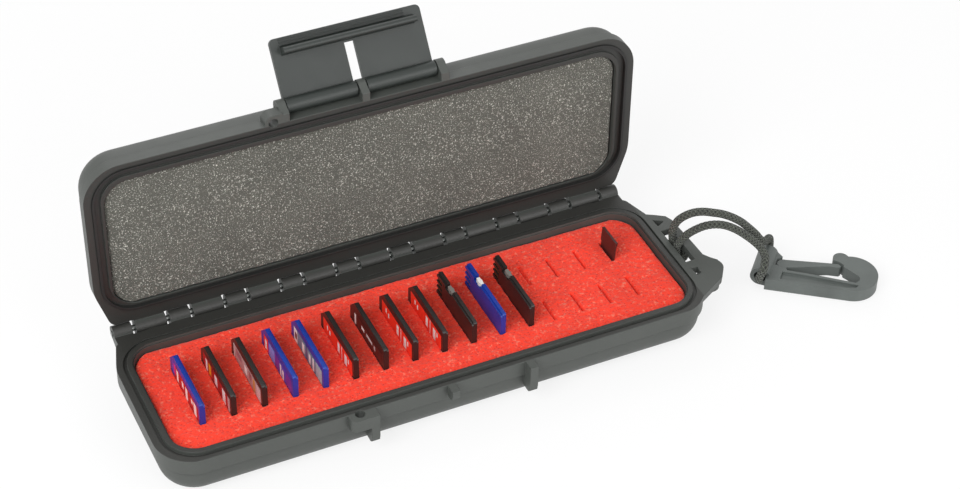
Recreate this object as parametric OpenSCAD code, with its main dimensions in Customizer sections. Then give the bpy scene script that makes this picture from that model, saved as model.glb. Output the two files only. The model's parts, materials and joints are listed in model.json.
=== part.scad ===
// Memory card case: a hinged water-tight box with a foam bed that holds
// twelve full-size cards on edge, a row of small-card slits, a hinged latch
// and a cord with a snap hook. It is stored open, as it stands on a table.
// The origin is the middle of the base's flat underside, +X towards the cord
// end, +Y towards the hinge and +Z up. The lid and the latch are written
// closed and are swung open by their two angles.

/* [Case] */
// Length of the base and the lid over their flanges
case_len = 220; // [196:1:250]
// From the origin to the front flange
front_dep = 34.7; // [34.4:0.1:40]
// From the origin to the rear flange of the base
rear_dep = 34.7; // [34.4:0.1:35.4]
// Radius of the two front corners in plan
corner_r = 15; // [12:0.5:18]
// Height of the base up to its rim
base_h = 19.2; // [18.6:0.1:24]
// Height of the base's outer flange
base_band = 6.5; // [5.5:0.1:7]
// Radius of the base's lower edge
base_edge_r = 8.5; // [6:0.1:8.6]
// Thickness of the base's floor
base_floor = 1.8; // [1.4:0.1:2.2]
// Height of the lid above its rim
lid_h = 16.5; // [15:0.1:20]
// Height of the lid's outer flange
lid_band = 4.7; // [4:0.1:5.4]
// Radius of the lid's upper edge
lid_edge_r = 7.5; // [5:0.1:8]
// Thickness of the lid's roof
lid_roof = 1.8; // [1.4:0.1:2.4]
// How far the walls stand in from the flanges
wall_step = 1.3; // [0.8:0.1:1.6]
// Gap between the two rims when the lid is closed
rim_gap = 0.15; // [0.1:0.05:0.3]

/* [Seal] */
// From the flange's end in to the seal line round the foam bed
seal_in = 3.4; // [3.2:0.1:5]
// Depth of the seal line
seal_dep = 64; // [62:0.2:64.4]
// Corner radius of the seal line
seal_r = 13; // [11:0.5:14]
// Width of the groove in the base that the gasket presses into
groove_w = 1.4; // [1.2:0.1:1.8]
// Depth of the groove
groove_d = 0.9; // [0.7:0.1:1.2]
// Width of the gasket
gasket_w = 1; // [0.8:0.1:1.1]
// How far the gasket stands proud of the lid's rim
gasket_out = 0.7; // [0.4:0.1:0.8]
// Width of the base's raised inner lip
lip_w = 2; // [1.6:0.1:2.2]
// Height of that lip over the rim
lip_h = 0.8; // [0.5:0.1:0.9]
// Depth of the lid's channel that clears the lip and holds the gasket
channel_d = 1.1; // [1:0.1:1.4]

/* [Foam] */
// From the flange's end in to the foam bed's pocket
bed_in = 6.6; // [6.5:0.1:7.5]
// Depth of the foam bed's pocket in the base
bed_dep = 57.6; // [57:0.2:58]
// Height of the foam bed's face below the rim
bed_drop = 2.5; // [2:0.1:3]
// Gap round the foam
foam_gap = 0.2; // [0.1:0.05:0.4]
// From the flange's end in to the lid's cavity
lining_in = 7.4; // [7.2:0.1:8]
// Front of the lid's cavity, from the hinge axis
lining_front = 68.3; // [67.6:0.1:68.6]
// Rear of the lid's cavity, from the hinge axis
lining_rear = 10.2; // [10:0.1:11]
// How far the lid foam's face lies behind the lid's rim
lining_drop = 1.3; // [1.2:0.1:2]

/* [Hinge] */
// From the origin back to the hinge axis
hinge_y = 40.9; // [40.6:0.1:42]
// Height of the hinge axis below the base's rim
hinge_drop = 0.3; // [0.2:0.1:0.6]
// Radius of the hinge knuckles
knuckle_r = 2.9; // [2.6:0.1:3.1]
// Radius of the hinge pin and the latch pin
pin_r = 1.2; // [1:0.1:1.4]
// Width of a lid knuckle
lid_knuckle_w = 11.9; // [10:0.1:12.5]
// Gap beside each knuckle
knuckle_gap = 1.4; // [0.8:0.1:1.8]
// From the flange's end in to the hinge's end block
hinge_in = 5; // [4.6:0.1:5.6]
// Width of the hinge's end blocks
end_block_w = 7.25; // [6:0.25:8]
// How far the lid stands open
lid_open = 91; // [0:1:91]

/* [Latch] */
// From the lid's hinge axis forward to the latch's pivot
latch_v = 78.5; // [78.4:0.1:79]
// Height of the latch's pivot above the lid's hinge axis
latch_w = 5.8; // [5.6:0.1:6.2]
// Middle of the latch, left of the case's middle
latch_x = -1.1; // [-6:0.1:6]
// Width of the latch
latch_len = 59.2; // [50:0.2:64]
// From the pivot to the latch's free edge
latch_drop = 24.4; // [23.6:0.1:24.6]
// Thickness of the latch's plate
latch_t = 2; // [1.6:0.1:2.2]
// Radius of the latch's barrel
barrel_r = 2.8; // [2.6:0.05:2.85]
// Width of the slot in the latch
slot_w = 4; // [3.6:0.1:5]
// From the pivot to the slot's end
slot_end = 17; // [15:0.5:17.4]
// From the pivot to the middle of the catch bar
catch_s = 19.5; // [19:0.1:19.8]
// Thickness of the catch bar
catch_t = 2.5; // [2:0.1:2.8]
// How far the catch bar reaches in from the plate
catch_reach = 4.9; // [3:0.1:4.9]
// How far the latch stands open
latch_open = 125; // [0:1:125]
// Width of the ribs and ears beside the latch
ear_w = 3.2; // [2.8:0.1:3.4]
// Gap between the latch and what flanks it
ear_gap = 0.4; // [0.3:0.1:0.5]

/* [Padlock ears] */
// Radius of the hole for a padlock
padlock_r = 1.87; // [1.5:0.01:1.9]
// From the origin to the hole, along the front
padlock_x = -37.4; // [-38:0.1:-37]
// From the origin to the hole, towards the front
padlock_y = -35.4; // [-35.6:0.1:-35.4]
// Wall of the lid's ear round the hole
padlock_wall = 1.45; // [1.2:0.05:1.6]
// Height of the base's ear
padlock_h = 5.3; // [4.5:0.1:5.3]
// Extra room round the hole in the flange under that ear
ear_relief = 0.6; // [0.5:0.1:0.8]

/* [Cord ear] */
// Thickness of the cord ear
cord_ear_t = 3; // [2.4:0.1:4]
// Width of the slot that the cord passes through
cord_slot_w = 4.05; // [3.8:0.05:4.3]
// Near end of that slot
cord_slot_y0 = -9; // [-9:0.1:-6]
// Far end of that slot
cord_slot_y1 = 11.2; // [9:0.1:11.2]
// Width of the bar outside the slot
cord_bar_w = 3.9; // [3.4:0.1:4.4]

/* [Cards] */
// Length of a full-size card
card_len = 32; // [30:0.5:34]
// Width of a full-size card
card_wid = 24; // [22:0.5:24.5]
// Thickness of a full-size card
card_t = 2.1; // [1.8:0.1:2.6]
// How far a full-size card stands out of the foam
card_out = 9.9; // [8:0.1:11]
// From the bed's end to the first card
first_card_in = 13.7; // [12:0.1:16]
// From the last card to the first pair of small-card slits
slits_after = 9.85; // [9:0.05:12]
// From the last pair of slits to the bed's end
last_slit_in = 17.35; // [16:0.05:19]
// Middle of the row of cards, towards the hinge
card_y = 0.6; // [-2:0.1:2]
// First card that is turned to show its contacts
turned_from = 10; // [1:1:12]
// Middle of the rear slits, towards the hinge
slit_rear = 11.1; // [9:0.1:12]
// Middle of the front slits, towards the hinge
slit_front = -10.4; // [-12:0.1:-9]
// Length of a slit
slit_len = 11.4; // [11.3:0.1:12]
// Width of a slit
slit_w = 1.3; // [1.2:0.05:1.6]
// How far the small card stands out of the foam
micro_out = 8.3; // [6:0.1:10]

/* [Cord and snap hook] */
// Diameter of the cord
cord_d = 3.2; // [2.6:0.1:3.4]
// Radius of the knot under the cord ear
knot_r = 4.1; // [3.6:0.1:4.2]
// From the case's end to the snap hook's eye
hook_x = 38; // [37.8:0.1:38.2]
// Place of the snap hook's eye, towards the hinge
hook_y = -7.3; // [-7.4:0.1:-7.2]
// Direction in which the hook points
hook_turn = -43; // [-44:1:-42]
// Thickness of the hook
hook_t = 5.5; // [4.5:0.1:6]
// Radius of the hook's round end
bend_r = 10.3; // [10:0.1:10.6]
// From the eye to the centre of the round end
bend_u = 34.3; // [34:0.1:34.6]
// Radius of the eye's tube
eye_r = 4; // [3.8:0.1:4.2]
// From the hook's line to the eye's near mouth
eye_near = 8.9; // [8.7:0.1:9]
// Length of the eye's tube
eye_len = 15.5; // [15.3:0.1:15.6]

/* [Hidden] */
$fn = 64;
card_count = 12;
slit_count = 4;

function two(i) = i < 10 ? str("0", i) : str(i);
CARD_NODES = [for (i = [1:card_count]) str("sd_card_", two(i))];
TAB_NODES = [for (i = [1:card_count]) str("lock_tab_", two(i))];

// Colours as the object shows them
SHELL = "#4a4c48";
LATCH = "#4f5552";
STEEL = "#c9cbc8";
RUBBER = "#1d1d1c";
RED_FOAM = "#f23a22";
GREY_FOAM = "#7b7973";
CARD_BLACK = "#1c1a1a";
CARD_BLUE = "#0a3fa0";
CORD = "#22231f";
HOOK = "#6d716c";

// Worked out from the driving sizes
half_len = case_len / 2;
seal_len = case_len - 2 * seal_in;
bed_len = case_len - 2 * bed_in;
lining_len = case_len - 2 * lining_in;
hinge_half = half_len - hinge_in;
knuckle_pitch = (hinge_half - end_block_w - knuckle_gap - lid_knuckle_w / 2) / 4;
card_pitch = (bed_len - first_card_in - slits_after - last_slit_in)
    / (card_count - 1 + slit_count - 1);
card_x0 = -bed_len / 2 + first_card_in;
slit_x0 = card_x0 + (card_count - 1) * card_pitch + slits_after;
hinge_z = base_h - hinge_drop;
rim_z = base_h + rim_gap;
bed_top = base_h - bed_drop;
running = 0.05;                      // radial clearance of a turning fit
press = 0.02;                        // radial clearance of a held pin
lid_back = 2.6;                      // rear flange of the lid, from the hinge axis
lid_rear_y = hinge_y - lid_back;
barrel_room = 0.5;                   // between a knuckle and the other shell's flange
ledge_y = hinge_y - knuckle_r - barrel_room;
base_knuckle_w = knuckle_pitch - lid_knuckle_w - 2 * knuckle_gap;
lid_knuckles = [-4:4];
base_knuckles = [-4:3];
pivot_y = hinge_y - latch_v;
pivot_z = hinge_z + latch_w;
latch_half = latch_len / 2;
plate_in = barrel_r - latch_t;       // inner face of the plate, outside the pivot
rib_y = -front_dep - 4.3;            // face of the ribs that flank the latch
mid_w = slot_w - 2 * 0.5;            // rib and ear that stand in the latch's slot
left_x = latch_x - latch_half - ear_gap;
right_x = latch_x + latch_half + ear_gap;
bar_x = half_len + cord_slot_w + 0.05;
slot_x = half_len + 0.05;

// Outline of a flange, counter-clockwise from the front left corner: a plain
// front, and rear corners cut back towards the ends of the hinge
chamfer_x = 5.5;
chamfer_from = 21;
function slant_x(y) = half_len - chamfer_x * (y - chamfer_from) / (38.3 - chamfer_from);
function outline(rear) = [
    [-half_len, -front_dep], [half_len, -front_dep], [half_len, chamfer_from],
    [slant_x(rear), rear], [-slant_x(rear), rear], [-half_len, chamfer_from]];
function radii(rear_r) = [corner_r, corner_r, 20, rear_r, rear_r, 20];

// Corner centres and tangent points of a convex outline with rounded corners
function unit(v) = v / norm(v);
function side(p, i) = unit(p[(i + 1) % len(p)] - p[i]);
function out(d) = [d.y, -d.x];
function centre(p, r, i) =
    let (a = side(p, (i + len(p) - 1) % len(p)), b = side(p, i))
    p[i] - a * r[i] * tan(acos(a * b) / 2) - out(a) * r[i];
function side_start(p, r, i, inset) = centre(p, r, i) + out(side(p, i)) * (r[i] - inset);
function side_stop(p, r, i, inset) =
    let (j = (i + 1) % len(p))
    centre(p, r, j) + out(side(p, i)) * (r[j] - inset);

module plan(p, r, inset = 0) {
    polygon([for (i = [0:len(p) - 1]) each
        [side_start(p, r, i, inset), side_stop(p, r, i, inset)]]);
    for (i = [0:len(p) - 1])
        translate(centre(p, r, i))
            circle(r[i] - inset);
}

// A quarter disc, the section of a rounded lower edge
module edge_section(e) {
    intersection() {
        translate([0, e])
            circle(e);
        square([e, e]);
    }
}

// A tray's outer form: upright walls on the outline and a rounded lower edge
module pan(p, r, inset, e, h) {
    translate([0, 0, e])
        linear_extrude(h - e)
            plan(p, r, inset);
    linear_extrude(e)
        plan(p, r, inset + e);
    for (i = [0:len(p) - 1]) {
        start = side_start(p, r, i, inset + e);
        stop = side_stop(p, r, i, inset + e);
        along = stop - start;
        translate([start.x, start.y, 0])
            rotate([0, 0, atan2(along.y, along.x)])
                rotate([90, 0, 90])
                    linear_extrude(norm(along))
                        mirror([1, 0])
                            edge_section(e);
        c = centre(p, r, i);
        before = side(p, (i + len(p) - 1) % len(p));
        translate([c.x, c.y, 0])
            rotate([0, 0, atan2(out(before).y, out(before).x)])
                rotate_extrude(angle = acos(before * side(p, i)))
                    translate([r[i] - inset - e, 0])
                        edge_section(e);
    }
}

// A shell's outer form: upright walls on the outline and one rounded edge,
// the lower one or, for the lid, the upper one
module shell_form(p, r, inset, e, h, upper = false) {
    hull()
        for (i = [0:len(p) - 1]) {
            c = centre(p, r, i);
            translate([c.x, c.y, upper ? 0 : e])
                cylinder(r = r[i] - inset, h = h - e, $fn = 48);
            translate([c.x, c.y, upper ? h - e : e])
                rotate_extrude($fn = 48)
                    translate([r[i] - inset - e, 0])
                        intersection() {
                            circle(e, $fn = 48);
                            translate([0, upper ? 0 : -e])
                                square([e, e]);
                        }
        }
}

function box_outline(l, y0, y1) = [[-l / 2, y0], [l / 2, y0], [l / 2, y1], [-l / 2, y1]];

module rounded_box(l, y0, y1, r) {
    plan(box_outline(l, y0, y1), [r, r, r, r]);
}

// The seal line and what lies at a given distance outside it
module seal_plan(offset_out) {
    d = seal_dep / 2 + offset_out;
    rounded_box(seal_len + 2 * offset_out, -d, d, seal_r + offset_out);
}

module seal_band(inner, outer) {
    difference() {
        seal_plan(outer);
        seal_plan(inner);
    }
}

// Turn the children with the lid, or with the latch, from closed to open
module on_lid() {
    translate([0, hinge_y, hinge_z])
        rotate([-lid_open, 0, 0])
            translate([0, -hinge_y, -hinge_z])
                children();
}

module on_latch() {
    translate([0, pivot_y, pivot_z])
        rotate([-latch_open, 0, 0])
            children();
}

// A cylinder along X from x0 to x1
module rod(x0, x1, r) {
    translate([x0, 0, 0])
        rotate([0, 90, 0])
            cylinder(r = r, h = x1 - x0);
}

// Extrude a section drawn in Y and Z along X
module along_x(x0, x1) {
    translate([x0, 0, 0])
        rotate([90, 0, 90])
            linear_extrude(x1 - x0)
                children();
}

// Base

module base_knuckle(x0, x1) {
    translate([0, hinge_y, hinge_z]) {
        rod(x0, x1, knuckle_r);
        reach = hinge_y - rear_dep + 1;
        along_x(x0, x1)
            polygon([[0, hinge_drop], [-reach, hinge_drop], [-reach, hinge_drop - base_band],
                [0, -knuckle_r]]);
    }
}

module latch_rib(x0, x1, low) {
    tip = 1.6;
    back = -front_dep + wall_step + 1;
    along_x(x0, x1)
        polygon([[rib_y, base_h], [rib_y, low + 2 * tip], [rib_y + 0.4, low + 0.6 * tip],
            [rib_y + tip, low], [back, low], [back, base_h]]);
}

module base_padlock_ear() {
    left = padlock_x - 4.4;
    round_r = 2.5;
    translate([0, 0, base_h - padlock_h])
        linear_extrude(padlock_h) {
            translate([left + round_r, rib_y + round_r])
                circle(round_r);
            translate([left + round_r, rib_y])
                square([left_x - left - round_r, -front_dep + 1 - rib_y]);
            translate([left, rib_y + round_r])
                square([round_r, -front_dep + 1 - rib_y - round_r]);
        }
}

module cord_ear() {
    edge_x = bar_x + cord_bar_w;
    boss = [half_len + 7.5, -15.3];
    translate([0, 0, base_h - cord_ear_t])
        linear_extrude(cord_ear_t)
            difference() {
                polygon([[half_len - 2, 23.5], [half_len + 2.5, 20.9], [half_len + 6, 18.6],
                    [edge_x - 0.8, 15.6], [edge_x, 2], [edge_x + 0.3, -7.6],
                    [half_len + 10.1, -10.4], [half_len + 12, -12.6], [half_len + 12.2, -15.4],
                    [half_len + 10.9, -19.2], [half_len + 8.5, -22.4],
                    [half_len - 4.5, -29.9], [half_len - 10, -25]]);
                translate([slot_x, cord_slot_y0])
                    square([cord_slot_w, cord_slot_y1 - cord_slot_y0]);
                polygon([[slot_x, 18.6], [slot_x + 4, 16.2], [slot_x + 0.3, 14.2]]);
                polygon([[slot_x, -12.6], [slot_x + 4.2, -13.9],
                    [slot_x + 4.1, -16], [slot_x + 0.5, -17.6]]);
            }
    translate([boss.x, boss.y, 0])
        difference() {
            union() {
                translate([0, 0, base_h - 4.2])
                    cylinder(r = 5, h = 4.2);
                translate([0, 0, base_h - 9.6])
                    cylinder(r = 4.1, h = 9.6 - 4.2);
            }
            translate([1.4, 0, base_h - 2])
                cylinder(r = 1.4, h = 3);
        }
}

module base_body() {
    flange = outline(rear_dep);
    translate([0, 0, base_h - base_band])
        linear_extrude(base_band)
            plan(flange, radii(3));
    translate([0, 0, base_h - base_band - 0.9])
        linear_extrude(1)
            plan(flange, radii(3), wall_step / 2);
    shell_form(flange, radii(base_edge_r + wall_step + 0.2), wall_step, base_edge_r, base_h - 1);
    translate([0, 0, base_h - 1])
        linear_extrude(1 + lip_h)
            seal_band(-groove_w / 2 - lip_w, -groove_w / 2);
    // the flange runs on behind the body, close up to the lid's knuckles
    translate([-hinge_half, rear_dep - 1, base_h - base_band])
        cube([2 * hinge_half, ledge_y - rear_dep + 1, base_band]);
}

module base_shell() {
    color(SHELL)
        difference() {
            union() {
                base_body();
                for (k = base_knuckles) {
                    mid = (k + 0.5) * knuckle_pitch;
                    base_knuckle(mid - base_knuckle_w / 2, mid + base_knuckle_w / 2);
                }
                end = 4 * knuckle_pitch + lid_knuckle_w / 2 + knuckle_gap;
                base_knuckle(end, hinge_half);
                base_knuckle(-hinge_half, -end);
                latch_rib(left_x - ear_w, left_x, 6);
                latch_rib(right_x, right_x + ear_w, 6.6);
                latch_rib(latch_x - mid_w / 2, latch_x + mid_w / 2, 14.4);
                base_padlock_ear();
                cord_ear();
            }
            translate([0, 0, base_floor])
                pan(box_outline(bed_len, -bed_dep / 2, bed_dep / 2), [9.8, 9.8, 9.8, 9.8],
                    0, 4, base_h);
            translate([0, 0, base_h - groove_d])
                linear_extrude(groove_d + 1)
                    seal_band(-groove_w / 2, groove_w / 2);
            translate([0, hinge_y, hinge_z])
                rod(-hinge_half - 1, hinge_half + 1, pin_r + press);
            translate([padlock_x, padlock_y, base_h - base_band - 2])
                cylinder(r = padlock_r, h = base_band + 3);
            translate([padlock_x, padlock_y, base_h - base_band - 2])
                cylinder(r = padlock_r + ear_relief, h = base_band - padlock_h + 2);
        }
}

// Lid, written closed

module lid_knuckle(x0, x1) {
    translate([0, hinge_y, hinge_z]) {
        rod(x0, x1, knuckle_r);
        rise = rim_z - hinge_z;
        along_x(x0, x1)
            polygon([[0, 0], [-lid_back - 0.4, rise], [-7, rise], [-7, rise + lid_band],
                [-lid_back, rise + lid_band], [0, knuckle_r]]);
    }
}

// Room in the lid's rear flange for one of the base's knuckles
module knuckle_room(x0, x1) {
    translate([0, hinge_y, hinge_z])
        rod(x0, x1, knuckle_r + barrel_room);
}

module pivot_ear(x0, x1) {
    translate([0, pivot_y, pivot_z])
        rod(x0, x1, barrel_r + 0.2);
    along_x(x0, x1)
        polygon([[-front_dep + 2, rim_z], [-front_dep - 3.4, rim_z], [pivot_y - barrel_r, pivot_z - 0.6],
            [pivot_y, pivot_z + barrel_r], [-front_dep + 2, rim_z + 8.4]]);
}

module lid_padlock_ear() {
    r = padlock_r + padlock_wall;
    translate([0, 0, rim_z])
        linear_extrude(lid_band) {
            translate([padlock_x, padlock_y])
                circle(r);
            translate([padlock_x - r, padlock_y])
                square([2 * r, -front_dep + 1 - padlock_y]);
            translate([padlock_x, padlock_y - r])
                square([left_x - ear_w - padlock_x + 0.5, r - front_dep + 1 - padlock_y]);
        }
}

module lid_body() {
    flange = outline(lid_rear_y);
    translate([0, 0, rim_z])
        linear_extrude(lid_band)
            plan(flange, radii(5));
    translate([0, 0, rim_z + lid_band - 0.1])
        linear_extrude(0.9)
            plan(flange, radii(5), wall_step / 2);
    translate([0, 0, rim_z + 1])
        shell_form(flange, radii(lid_edge_r + wall_step + 1.2), wall_step, lid_edge_r, lid_h - 1,
            upper = true);
}

module lid_shell() {
    lining_depth = lid_h - lid_roof;
    color(SHELL)
        on_lid()
            difference() {
                union() {
                    lid_body();
                    for (k = lid_knuckles)
                        lid_knuckle(k * knuckle_pitch - lid_knuckle_w / 2,
                            k * knuckle_pitch + lid_knuckle_w / 2);
                    pivot_ear(left_x - ear_w, left_x);
                    pivot_ear(right_x, right_x + ear_w);
                    pivot_ear(latch_x - mid_w / 2, latch_x + mid_w / 2);
                    lid_padlock_ear();
                }
                translate([0, 0, rim_z + lining_depth])
                    mirror([0, 0, 1])
                        pan(box_outline(lining_len, hinge_y - lining_front, hinge_y - lining_rear),
                            [10, 10, 10, 10], 0, 4, lining_depth + 1);
                translate([0, 0, rim_z - 1])
                    linear_extrude(channel_d + 1)
                        seal_band(-groove_w / 2 - lip_w - 0.2, gasket_w / 2);
                for (k = base_knuckles) {
                    mid = (k + 0.5) * knuckle_pitch;
                    half = base_knuckle_w / 2 + knuckle_gap;
                    knuckle_room(mid - half, mid + half);
                }
                end = 4 * knuckle_pitch + lid_knuckle_w / 2;
                knuckle_room(end, half_len);
                knuckle_room(-half_len, -end);
                translate([0, hinge_y, hinge_z])
                    rod(-hinge_half, hinge_half, pin_r + running);
                translate([0, pivot_y, pivot_z])
                    rod(left_x - ear_w + 0.8, right_x + ear_w + 1, pin_r + press);
                translate([padlock_x, padlock_y, rim_z - 1])
                    cylinder(r = padlock_r, h = lid_band + 2);
            }
}

module lid_gasket() {
    color(RUBBER)
        on_lid()
            translate([0, 0, rim_z - gasket_out])
                linear_extrude(gasket_out + channel_d)
                    seal_band(-gasket_w / 2, gasket_w / 2);
}

module hinge_pin() {
    color(STEEL)
        translate([0, hinge_y, hinge_z])
            rod(-hinge_half - 0.4, hinge_half + 0.4, pin_r);
}

module latch_pin() {
    color(STEEL)
        on_lid()
            translate([0, pivot_y, pivot_z])
                rod(left_x - ear_w + 0.9, right_x + ear_w, pin_r);
}

// Latch, hanging from its pivot at the origin

module latch_plate() {
    translate([latch_x - latch_half, 0, 0])
        rotate([90, 0, 0])
            translate([0, 0, plate_in])
                linear_extrude(latch_t) {
                    round_r = 2;
                    translate([0, -latch_drop + round_r])
                        square([latch_len, latch_drop - round_r]);
                    translate([round_r, -latch_drop])
                        square([latch_len - 2 * round_r, round_r]);
                    for (x = [round_r, latch_len - round_r])
                        translate([x, -latch_drop + round_r])
                            circle(round_r);
                }
}

// The bar that snaps under the base's rounded lower edge
module catch_bar(x0, x1) {
    tip = catch_t / 2;
    along_x(x0, x1) {
        translate([-plate_in + catch_reach - tip, -catch_s])
            circle(tip);
        translate([-plate_in - 0.5, -catch_s - tip])
            square([catch_reach - tip + 0.5, catch_t]);
        polygon([[-plate_in - 0.5, -catch_s - tip - 0.8], [-plate_in + 0.8, -catch_s - tip],
            [-plate_in + 0.8, -catch_s + tip], [-plate_in - 0.5, -catch_s + tip + 0.8]]);
    }
}

module latch() {
    margin = 3.4;
    x0 = latch_x - latch_half;
    x1 = latch_x + latch_half;
    color(LATCH)
        on_lid()
            on_latch()
                difference() {
                    union() {
                        rod(x0, x1, barrel_r);
                        latch_plate();
                        catch_bar(x0 + margin, x1 - margin);
                        for (s = [21.6, 22.6, 23.6])
                            translate([x0 + margin, -plate_in - 0.5, -s - 0.2])
                                cube([latch_len - 3 * margin, 0.9, 0.4]);
                    }
                    translate([latch_x - slot_w / 2, -2 * barrel_r, -slot_end])
                        cube([slot_w, 4 * barrel_r, slot_end + 2 * barrel_r]);
                    rod(x0 - 1, x1 + 1, pin_r + running);
                }
}

// Foam

function card_place(i) = [card_x0 + (i - 1) * card_pitch, card_y, bed_top + card_out - card_wid / 2];
micro_h = 15;
micro_w = 11;
micro_t = 1;
micro_lean = 4;
micro_at = [slit_x0 + 3 * card_pitch, slit_rear, bed_top + micro_out - micro_h];

module card_foam() {
    l = bed_len - 2 * foam_gap;
    d = bed_dep / 2 - foam_gap;
    grip = 0.15;
    color(RED_FOAM)
        difference() {
            translate([0, 0, base_floor + 0.1])
                pan(box_outline(l, -d, d), [9.6, 9.6, 9.6, 9.6], 0, 4.2, bed_top - base_floor - 0.1);
            for (i = [1:card_count])
                translate([card_place(i).x - card_t / 2 - grip, card_y - card_len / 2 - grip,
                        bed_top + card_out - card_wid - grip])
                    cube([card_t + 2 * grip, card_len + 2 * grip, card_wid]);
            for (k = [0:slit_count - 1], y = [slit_rear, slit_front])
                translate([slit_x0 + k * card_pitch, y - slit_len / 2, micro_at.z - grip])
                    rotate([0, k == slit_count - 1 && y == slit_rear ? micro_lean : 0, 0])
                        translate([-slit_w / 2, 0, 0])
                            cube([slit_w, slit_len, micro_h]);
        }
}

module lid_foam() {
    l = lining_len - 2 * foam_gap;
    depth = lid_h - lid_roof - 0.2 - lining_drop;
    color(GREY_FOAM)
        on_lid()
            translate([0, 0, rim_z + lid_h - lid_roof - 0.2])
                mirror([0, 0, 1])
                    pan(box_outline(l, hinge_y - lining_front + foam_gap,
                            hinge_y - lining_rear - foam_gap),
                        [9.8, 9.8, 9.8, 9.8], 0, 4.2, depth);
}

// Full-size card: label towards -X, contacts at the +Y end, slider on the
// lower edge. The origin is the card's middle.

rail = 0.7;                  // step of the thin long edges
cut = 4;                     // the slanted corner
tab_len = 4;
tab_y = card_len / 2 - 9.3 - tab_len / 2;
tab_room = 1.2;              // travel of the slider
tab_h = 1.9;

module card_plan(inset) {
    w = card_wid / 2 - inset;
    l = card_len / 2;
    r = 0.8;
    cut_in = cut - inset;
    plan([[-l, -w], [l, -w], [l, w - cut_in], [l - cut_in, w], [-l, w]], [r, r, r, r, r]);
}

module sd_card(i) {
    thin = card_t - rail;
    color(i == 1 || i == 4 || i == 5 || i == 11 ? CARD_BLUE : CARD_BLACK)
        at_card(i)
            difference() {
                union() {
                    along_x(-card_t / 2, -card_t / 2 + thin)
                        card_plan(0);
                    along_x(-card_t / 2 + thin - 0.1, card_t / 2)
                        card_plan(rail);
                }
                translate([-card_t / 2 - 1, tab_y - tab_len / 2 - 0.15, -card_wid / 2 - 1])
                    cube([card_t + 2, tab_len + tab_room + 0.3, tab_h + 1.15]);
                for (k = [0:6])
                    translate([card_t / 2 - 0.6, card_len / 2 - 5, -9.8 + k * 2.5])
                        cube([1, 6, 1.7]);
                translate([-card_t / 2 - 1, -card_len / 2 + 1.6, -card_wid / 2 + 3])
                    cube([1.1, 24, card_wid - 6]);
            }
}

// The write-protect slider of a full-size card
module lock_tab(i) {
    color(i == 11 ? "white" : "#8a8a86")
        at_card(i)
            translate([-0.65, tab_y - tab_len / 2, -card_wid / 2]) {
                cube([1.3, tab_len, tab_h]);
                translate([-0.2, tab_len / 2 - 0.6, 0])
                    cube([1.7, 1.2, tab_h]);
            }
}

module at_card(i) {
    translate(card_place(i))
        rotate([0, i < turned_from ? 0 : 180, 0])
            children();
}

// Small card, standing on its contact end
module micro_sd_card() {
    outline_pts = [[-5.5, 0], [4.1, 0], [4.1, 4.6], [4.9, 5.4], [4.9, 8.6], [5.5, 9.2],
        [5.5, micro_h], [-5.5, micro_h]];
    color("#4d1c1a")
        translate(micro_at)
            rotate([0, micro_lean, 0]) {
                along_x(-micro_t / 2, micro_t / 2 - 0.3)
                    polygon(outline_pts);
                translate([0, -5.5, micro_h - 1.6])
                    cube([micro_t / 2, 11, 1.6]);
            }
}

// Cord: up out of the knot, through the ear's slot, over to the hook's eye,
// through it and back beside itself
hook_z = 0.3;
eye_z = hook_z + eye_r;
eye_far = eye_len - eye_near;
near_r = 3.9;                // how tightly the cord folds at the eye's mouths
far_r = 3.1;
fold_from = 0.4;             // the folds start this far outside the mouths

// A point given from the hook's eye: along the tube, along the hook, and up
function by_hook(s, k, z) = [
    hook_x + k * cos(hook_turn) - s * sin(hook_turn),
    hook_y + k * sin(hook_turn) + s * cos(hook_turn), z];
function fold(s, way, k, r, a) =
    by_hook(s + way * r * cos(a), k * (a + 90) / 150, eye_z + r * (1 + sin(a)));
cord_route = concat(
    [[2.1, 5.4, 14.6], [2.1, 5.4, 18], [1.8, 5.4, 21.4], [1.8, 5.2, 24.8], [3.1, 4.5, 28.6],
        [5.7, 3.4, 31.2], [8.8, 2.2, 32.6], [12, 0.8, 33], [15.4, -0.5, 32.4],
        [19, -2, 31.6], [22.6, -3.6, 30], [26.2, -4.8, 27.4], [29.6, -5.6, 23.8],
        [32.8, -6, 20], [35.6, -5.8, 16]],
    [by_hook(3.8, -1.5, 12.2)],
    [for (a = [70:-40:-50]) fold(eye_far + fold_from, 1, -0.9, far_r, a)],
    [for (s = [7.2:-2.8:-8]) by_hook(s, 0, eye_z)],
    [by_hook(-eye_near - 0.1, 0, eye_z)],
    [for (a = [-54, -20]) fold(-eye_near - fold_from, -1, 0.8, near_r, a)],
    [by_hook(-13.6, 1.3, 10.4), by_hook(-13.2, 1.8, 13.2)],
    [[32, -15.6, 16], [31.2, -13, 18.8], [29, -11, 21.4], [26, -9.4, 24.2],
        [22.5, -7.6, 26.9], [18.6, -5.7, 28.8], [14.8, -4, 29.3], [11.2, -2.3, 28.4],
        [8, -0.8, 26.4], [5.4, 0.4, 24], [3.5, 1.3, 21.2], [2.2, 1.8, 18], [2.1, 1.8, 14.6]]);

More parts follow.
